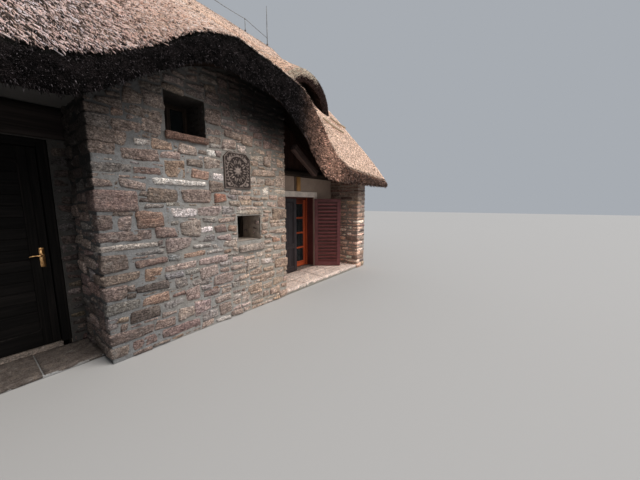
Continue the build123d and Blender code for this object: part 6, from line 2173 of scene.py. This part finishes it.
# outer leaves: the left one panelled, the right one louvred
SZ0, SZ1 = 0.115, 1.93
b = Build()
a, c = 3.440, 4.144
for x0, x1 in ((a, a + 0.09), (c - 0.09, c)):
    k = 1.05 if x0 > 4.0 else 1.0
    cbox(b, x0, x1, 0.880, 0.920, SZ0, SZ1, 0.004, tint=(k, k, k), grain="z", seed=111)
cbox(b, a + 0.09, c - 0.09, 0.881, 0.919, SZ0, SZ0 + 0.11, 0.004, grain="x", seed=112)
cbox(b, a + 0.09, c - 0.09, 0.881, 0.919, SZ1 - 0.09, SZ1, 0.004, grain="x", seed=113)
nb = 5
for i in range(nb):
    x0 = a + 0.088 + (c - a - 0.176) * i / nb
    x1 = a + 0.088 + (c - a - 0.176) * (i + 1) / nb
    cbox(b, x0 + 0.0005, x1 - 0.0005, 0.891, 0.909, SZ0 + 0.105, SZ1 - 0.085, 0.003, grain="z", seed=114 + i)
m2 = [(-0.010, 0.0), (-0.008, -0.006), (0.0, -0.010), (0.008, -0.006), (0.011, 0.0), (0.011, 0.006), (-0.010, 0.006)]
for face, fl_ in ((0.889, 1), (0.911, -1)):
    for za, zb in ((SZ0 + 0.121, 0.709), (0.811, SZ1 - 0.101)):
        sweep_xz(b, rounded_rect(a + 0.101, c - 0.101, za, zb, 0.004, n=3), [(o, q_ * fl_) for o, q_ in m2], face, tint=(1.0, 1.0, 1.0))
        # inner moulding seen beside the closing stile
        if fl_ == 1:
            cbox(b, c - 0.150, c - 0.136, 0.884, 0.892, za + 0.004, zb - 0.004, 0.003, tint=(0.6, 0.6, 0.6), grain="z", seed=119)
cbox(b, a + 0.088, c - 0.088, 0.8815, 0.9185, 0.72, 0.80, 0.004, grain="x", seed=118)
for z in (0.35, 1.68):
    cbox(b, 3.441, 3.56, 0.8765, 0.880, z, z + 0.035, 0.001, tint=(0.6, 0.6, 0.6), seed=1)
b.make("left_leaf_panelled", [M_SLATE], body="shutter_left", replaces=["porch_shutter_left"], smooth=False)

b = Build()
a, c = 4.865 - 0.709, 4.860
swing = swung(4.865, 0.875, 127.0)
for x0, x1 in ((a, a + 0.09), (c - 0.09, c)):
    cbox(b, x0, x1, 0.880, 0.920, SZ0, SZ1, 0.004, grain="z", seed=121, turn=swing)
cbox(b, a + 0.09, c - 0.09, 0.881, 0.919, SZ0, SZ0 + 0.11, 0.004, grain="x", seed=122, turn=swing)
cbox(b, a + 0.09, c - 0.09, 0.881, 0.919, SZ1 - 0.09, SZ1, 0.004, grain="x", seed=123, turn=swing)
z0, z1 = SZ0 + 0.11, SZ1 - 0.09
ns = 17
pitch_ = (z1 - z0) / ns
for i in range(ns):
    zc = z0 + pitch_ * (i + 0.5)
    t_ = math.radians(-67)

    def tilt(v, zc=zc):
        o = v.copy()
        y, z = v[:, 1] - 0.900, v[:, 2]
        o[:, 1] = 0.900 + y * math.cos(t_) + z * math.sin(t_)
        o[:, 2] = zc - y * math.sin(t_) + z * math.cos(t_)
        return swing(o)

    k = 0.92 + 0.16 * ((i * 7) % 5) / 4
    # painted shade on the upper part of each slat, where the one above shades it, and painted light on the lower part
    cbox(b, a + 0.086, c - 0.086, 0.900 - 0.051, 0.900 + 0.014, -0.0052, 0.0052, 0.0015, tint=(1.45 * k,) * 3, grain="x", seed=130 + i, turn=tilt)
    cbox(b, a + 0.086, c - 0.086, 0.900 + 0.012, 0.900 + 0.051, -0.0044, 0.0044, 0.0010, tint=(0.42 * k,) * 3, grain="x", seed=150 + i, turn=tilt)
# beads on both faces around the slats
for y0, y1 in ((0.882, 0.888), (0.912, 0.918)):
    cbox(b, a + 0.090, a + 0.102, y0, y1, z0, z1, 0.002, grain="z", seed=1, turn=swing)
    cbox(b, c - 0.102, c - 0.090, y0, y1, z0, z1, 0.002, grain="z", seed=2, turn=swing)
b.make("right_leaf_louvred", [M_REDBROWN], body="shutter_right", replaces=["porch_shutter_right"], smooth=False)

# timbers under the eyebrow's end
b = Build()
RL = math.hypot(0.70, 0.44)
RA = math.atan2(-0.44, 0.70)


def rafter_turn(w):
    o = w.copy()
    o[:, 0] = 3.04 + w[:, 0] * math.cos(RA) - w[:, 2] * math.sin(RA)
    o[:, 2] = 2.82 + w[:, 0] * math.sin(RA) + w[:, 2] * math.cos(RA)
    return o


rough_box(b, 0.0, RL, -0.058, 0.058, 0.0, 0.128, step=0.024, amp=0.0045, freq=16, seed=141, tint=(0.92, 0.80, 0.84), grain="x", turn=rafter_turn, round_=0.04)
cbox(b, 4.175, 4.305, 0.870, 0.900, 2.115, 2.460, 0.004, grain="z", seed=142, mat=1)
b.make("porch_timber_set", [M_BEAM, M_HONEY], replaces=["porch_timbers"])

b = Build()
lo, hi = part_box("porch_wall_plate")
x0, x1 = lo[0] + 1.405, hi[0] + 1.405
rough_box(b, x0, x1, lo[1] + 4.0, hi[1] + 4.0, lo[2], hi[2], step=0.05, amp=0.004, freq=10, seed=151, tint=(0.9, 0.9, 0.9), grain="x", round_=0.10)
b.make("porch_plate_beam", [M_DARK], replaces=["porch_wall_plate"])

b = Build()
lo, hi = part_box("porch_upper_wall")
x0, x1, yf = lo[0] + 1.405, hi[0] + 1.405, lo[1] + 4.0
n = 20
r = rng(161)
for i in range(n):
    a, c = x0 + (x1 - x0) * i / n, x0 + (x1 - x0) * (i + 1) / n
    zt = float(under_z(np.array([a, c]), np.array([yf - 0.01, yf - 0.01])).min()) - 0.005
    k = r.uniform(0.75, 1.25)
    cbox(b, a + 0.002, c - 0.002, yf - 0.016, yf + 0.004, lo[2] + 0.002, zt, 0.003, tint=(k * 0.90, k * 0.58, k * 0.55), grain="z", seed=170 + i)
b.make("porch_upper_boards", [M_DARK], smooth=False)


# ---------------------------------------------------------------------------
# plaque, poles, conductor
# ---------------------------------------------------------------------------
def plaque():
    x0, x1, z0, z1 = PLAQUE
    W, H, clip = x1 - x0, z1 - z0, 0.075
    nu, nv = 150, 172
    U, V = np.meshgrid(np.linspace(-1, 1, nu), np.linspace(0, 1, nv), indexing="ij")
    z = z0 + V * H
    hw = W / 2 - np.maximum(0, z - (z1 - clip))
    x = U * hw
    # distance to the outline
    d_side = hw - np.abs(x)
    slant = (W / 2 + z1 - clip - np.abs(x) - z) / math.sqrt(2)
    d = np.minimum.reduce([W / 2 - np.abs(x), z - z0, z1 - z, np.where(slant < 0.3, slant, 0.3)])
    d = np.maximum(np.minimum(d, d_side), 0)
    # thin double border
    h = 0.021 + 0.0150 * smoothstep(0.015, 0.011, d) * smoothstep(-0.001, 0.004, d)
    h = h + 0.0080 * np.exp(-((d - 0.022) / 0.0026) ** 2)
    cz = z0 + H * 0.49
    px, pz = x, z - cz
    R, A = np.hypot(px, pz), np.arctan2(pz, px)
    inside = smoothstep(0.022, 0.030, d)
    # rosette in the middle: two rings of petals about a boss
    pet = 0.5 + 0.5 * np.cos(8 * A)
    ros = 0.0125 * np.clip(1 - (R / (0.052 + 0.040 * pet)) ** 2, 0, 1) ** 0.5
    pet2 = 0.5 + 0.5 * np.cos(8 * A + math.pi)
    ros = ros + 0.0045 * np.clip(1 - (R / (0.030 + 0.024 * pet2)) ** 2, 0, 1) ** 0.5
    ros = ros + 0.006 * np.clip(1 - (R / 0.019) ** 2, 0, 1) ** 0.5
    vein = 0.5 + 0.5 * np.cos(16 * A)
    ros = ros * (1 - 0.45 * vein ** 4 * smoothstep(0.030, 0.050, R))

    def leaf(lx, lz, ang, ln, wd, amp):
        c_, s_ = math.cos(ang), math.sin(ang)
        u_ = (x - lx) * c_ + (z - lz) * s_
        v_ = -(x - lx) * s_ + (z - lz) * c_
        t_ = np.clip(u_ / ln, 0, 1)
        wid = wd * np.sin(math.pi * t_ ** 0.75) + 1e-6
        body = np.clip(1 - (v_ / wid) ** 2, 0, 1) ** 0.5 * (u_ > 0) * (u_ < ln)
        return amp * body * (1 - 0.60 * np.exp(-(v_ / 0.0024) ** 2))

    relief = np.zeros_like(R)
    rr_ = rng(419)
    # broad leaves that leave the rosette in pairs
    for k in range(10):
        a_ = 2 * math.pi * (k + 0.5) / 10
        for side_ in (-1, 1):
            q_ = a_ + side_ * 0.10
            relief = np.maximum(relief, leaf(0.092 * math.cos(q_), cz + 0.104 * math.sin(q_), a_ + side_ * 0.42, 0.078, 0.0155, 0.0118))
    # a wreath of two branches that rise from the foot on either side
    for side_ in (-1, 1):
        for k in range(15):
            f_ = (k + 0.35) / 15
            a_ = -math.pi / 2 + side_ * math.pi * f_
            tang = math.atan2(side_ * 0.245 * math.cos(a_), -side_ * 0.205 * math.sin(a_))
            lx, lz = 0.205 * math.cos(a_), cz + 0.245 * math.sin(a_)
            for turn_, ln in ((0.62, 0.072), (-0.62, 0.064)):
                relief = np.maximum(relief, leaf(lx, lz, tang + side_ * turn_ + rr_.normal(0, 0.07), ln, 0.0135, 0.0122))
    # fans in the four corners
    for sx_ in (-1, 1):
        for sz_ in (-1, 1):
            ox, oz = sx_ * (W / 2 - 0.060 - 0.030 * (sz_ > 0)), cz + sz_ * (H / 2 - 0.062 - 0.020 * (sz_ > 0))
            mid_ = math.atan2(-sz_, -sx_)
            for k in range(-3, 4):
                relief = np.maximum(relief, leaf(ox - 0.016 * math.cos(mid_ + k * 0.5), oz - 0.016 * math.sin(mid_ + k * 0.5), mid_ + k * 0.50, 0.062, 0.0125, 0.0118))
            relief = np.maximum(relief, 0.0125 * np.clip(1 - (np.hypot(x - ox, z - oz) / 0.016) ** 2, 0, 1) ** 0.5)
    # berries between the wreath and the inner leaves, and along the border
    for rx, rz, n_ in ((0.158, 0.186, 16), (0.258, 0.300, 22)):
        for k in range(n_):
            a_ = 2 * math.pi * (k + 0.25) / n_
            q_ = np.hypot(x - rx * math.cos(a_), z - cz - rz * math.sin(a_)) / 0.0098
            relief = np.maximum(relief, 0.0125 * np.clip(1 - q_ ** 2, 0, 1) ** 0.5)
    field = 1.30 * np.maximum(ros, relief) * inside
    ground_ = 0.0012 * fbm(np.stack([x * 60, z * 60, 0 * x], -1), 411, 3)
    h = h + field + ground_ * inside + 0.0006 * fbm(np.stack([x * 160, z * 160, 0 * x + 4], -1), 412, 2)
    h = np.minimum(h, 0.0398)
    P = np.stack([x + (x0 + x1) / 2, -h, z], -1)
    b = Build()
    worn = smoothstep(0.0215, 0.037, h)[..., None]
    side_in = smoothstep(-0.02, 0.02, x - (z - cz) * 0.2)
    worn = worn * (1 - 0.45 * smoothstep(0.018, 0.012, d) * side_in)[..., None]
    tint = srgb(64, 54, 51) * (1 - worn) + srgb(158, 144, 136) * worn
    q = grid_quads(nu, nv)
    b.add(P, quads=q, tint=tint.reshape(-1, 3), gco=P.reshape(-1, 3))
    # rim back to the wall
    ring = [i * nv for i in range(nu)] + [(nu - 1) * nv + j for j in range(1, nv)] + [i * nv + nv - 1 for i in range(nu - 2, -1, -1)] + [j for j in range(nv - 2, 0, -1)]
    top_ = P.reshape(-1, 3)[ring]
    back = top_.copy()
    back[:, 1] = 0.004
    m_ = len(ring)
    V2 = np.concatenate([top_, back])
    qq = [(i, i + m_, (i + 1) % m_ + m_, (i + 1) % m_) for i in range(m_)]
    b.add(V2, quads=qq, tint=srgb(96, 80, 72), gco=V2, polys=[[m_ + i for i in range(m_)]])
    b.make("plaque_relief", [M_RELIEF], replaces=["wall_plaque"])


plaque()


def on_slope(x, y, h):
    s = math.atan((SLOPE[2][1] - SLOPE[1][1]) / (SLOPE[2][0] - SLOPE[1][0]))
    return np.array([x, y - math.sin(s) * h, float(plain(np.array(y))) + math.cos(s) * h])


b = Build()
r = rng(171)
for p, q_ in (((5.20, 0.86), (5.80, 0.58)), ((5.84, 1.06), (6.32, 0.84))):
    a, c = on_slope(*p, 0.045), on_slope(*q_, 0.045)
    t = np.linspace(0, 1, 14)[:, None]
    path = a + (c - a) * t
    path = path + np.stack([0 * t[:, 0], 0.006 * np.sin(t[:, 0] * 5 + p[0]), 0.007 * np.sin(t[:, 0] * 4 + p[1] * 3)], 1)
    tube(b, path, 0.0255 * (1 + 0.07 * np.sin(t[:, 0] * 17 + p[0]) - 0.10 * t[:, 0]), seg=14)
b.make("thatch_spars", [M_POLE], replaces=["thatch_poles"])

b = Build()
z_top = 7.24 + 0.12
wz = z_top + 0.34
tube(b, [(6.25, 4.0, z_top - 0.06), (6.25, 4.0, 7.9), (6.25, 4.0, 8.40), (6.25, 4.0, 8.58)], [0.014, 0.0135, 0.011, 0.005], seg=12)
xs_ = [-3.50 + i * 2.2 for i in range(5)]
wire = [(-3.55, 4.0, wz)]
for i in range(4):
    for t in np.linspace(0, 1, 9)[(1 if i else 0):]:
        x = xs_[i] + 2.2 * t
        wire.append((x, 4.0, wz - 0.05 * 4 * t * (1 - t)))
wire += [(5.36, 4.0, wz - 0.004), (5.65, 4.0, wz - 0.055), (5.95, 4.0, wz - 0.10), (6.25, 4.0, wz - 0.14)]
tube(b, wire, 0.0075, seg=8)
for x in xs_:
    tube(b, [(x, 4.0, z_top - 0.05), (x, 4.0, z_top + 0.15), (x, 4.0, wz - 0.015)], 0.0095, seg=10)
    tube(b, [(x, 4.0, wz - 0.035), (x, 4.0, wz - 0.01), (x, 4.0, wz + 0.014)], [0.014, 0.018, 0.015], seg=12)
    tube(b, [(x, 4.0, z_top - 0.02), (x, 4.0, z_top + 0.0), (x, 4.0, z_top + 0.015)], [0.030, 0.030, 0.014], seg=14)
tube(b, [(6.25, 4.0, z_top - 0.03), (6.25, 4.0, z_top), (6.25, 4.0, z_top + 0.03)], [0.034, 0.034, 0.018], seg=14)
b.make("conductor_line", [M_METAL], replaces=["lightning_conductor"])


# ---------------------------------------------------------------------------
# camera, light, floor
# ---------------------------------------------------------------------------
cam_d = bpy.data.cameras.new("view")
cam = bpy.data.objects.new("view", cam_d)
bpy.context.scene.collection.objects.link(cam)
psi, pitch = math.radians(36.34), math.radians(7.741)
f = Vector((math.cos(psi) * math.cos(pitch), math.sin(psi) * math.cos(pitch), -math.sin(pitch)))
r0 = Vector((math.sin(psi), -math.cos(psi), 0))
u0 = r0.cross(f)
m = Matrix((r0, u0, -f)).transposed().to_4x4()
m.translation = Vector((-0.8733 - 1.405, -3.5390 - 4.0, 1.80))
cam.matrix_world = m
cam_d.sensor_width = 36
cam_d.lens = 36 * 266.18 / 640
cam_d.clip_start = 0.01
bpy.context.scene.camera = cam

world = bpy.data.worlds.new("soft_sky")
bpy.context.scene.world = world
world.use_nodes = True
world.node_tree.nodes["Background"].inputs[0].default_value = (0.88, 0.93, 1.0, 1)
world.node_tree.nodes["Background"].inputs[1].default_value = 0.40


def sun(name, toward, power, spread, color):
    d = bpy.data.lights.new(name, "SUN")
    d.energy = power
    d.angle = math.radians(spread)
    d.color = color
    o = bpy.data.objects.new(name, d)
    bpy.context.scene.collection.objects.link(o)
    o.rotation_euler = (-Vector(toward)).to_track_quat("-Z", "Y").to_euler()
    return o


# one broad soft light from the front right, half-way up
sun("key", (0.36, -0.94, 1.05), 2.3, 50, (1.0, 0.955, 0.90))

s = 60.0
floor_mat = Mat("studio_floor", rough=0.9, base=(0.50, 0.495, 0.49))
me = bpy.data.meshes.new("studio_floor")
me.from_pydata([(-s, -s, -0.002), (s, -s, -0.002), (s, s, -0.002), (-s, s, -0.002)], [], [(0, 1, 2, 3)])
me.materials.append(floor_mat.mat)
floor = bpy.data.objects.new("studio_floor", me)
bpy.context.scene.collection.objects.link(floor)

# ---------------------------------------------------------------------------
# carried-over CAD nodes
# ---------------------------------------------------------------------------
for n, mat in CAD_MATERIALS.items():
    o = NODES[n]
    o.data.materials.clear()
    o.data.materials.append(mat)

bpy.context.scene.view_settings.view_transform = "Standard"
bpy.context.scene.view_settings.look = "Medium High Contrast"

print("TRIANGLES", sum(COUNTS.values()), json.dumps(COUNTS))
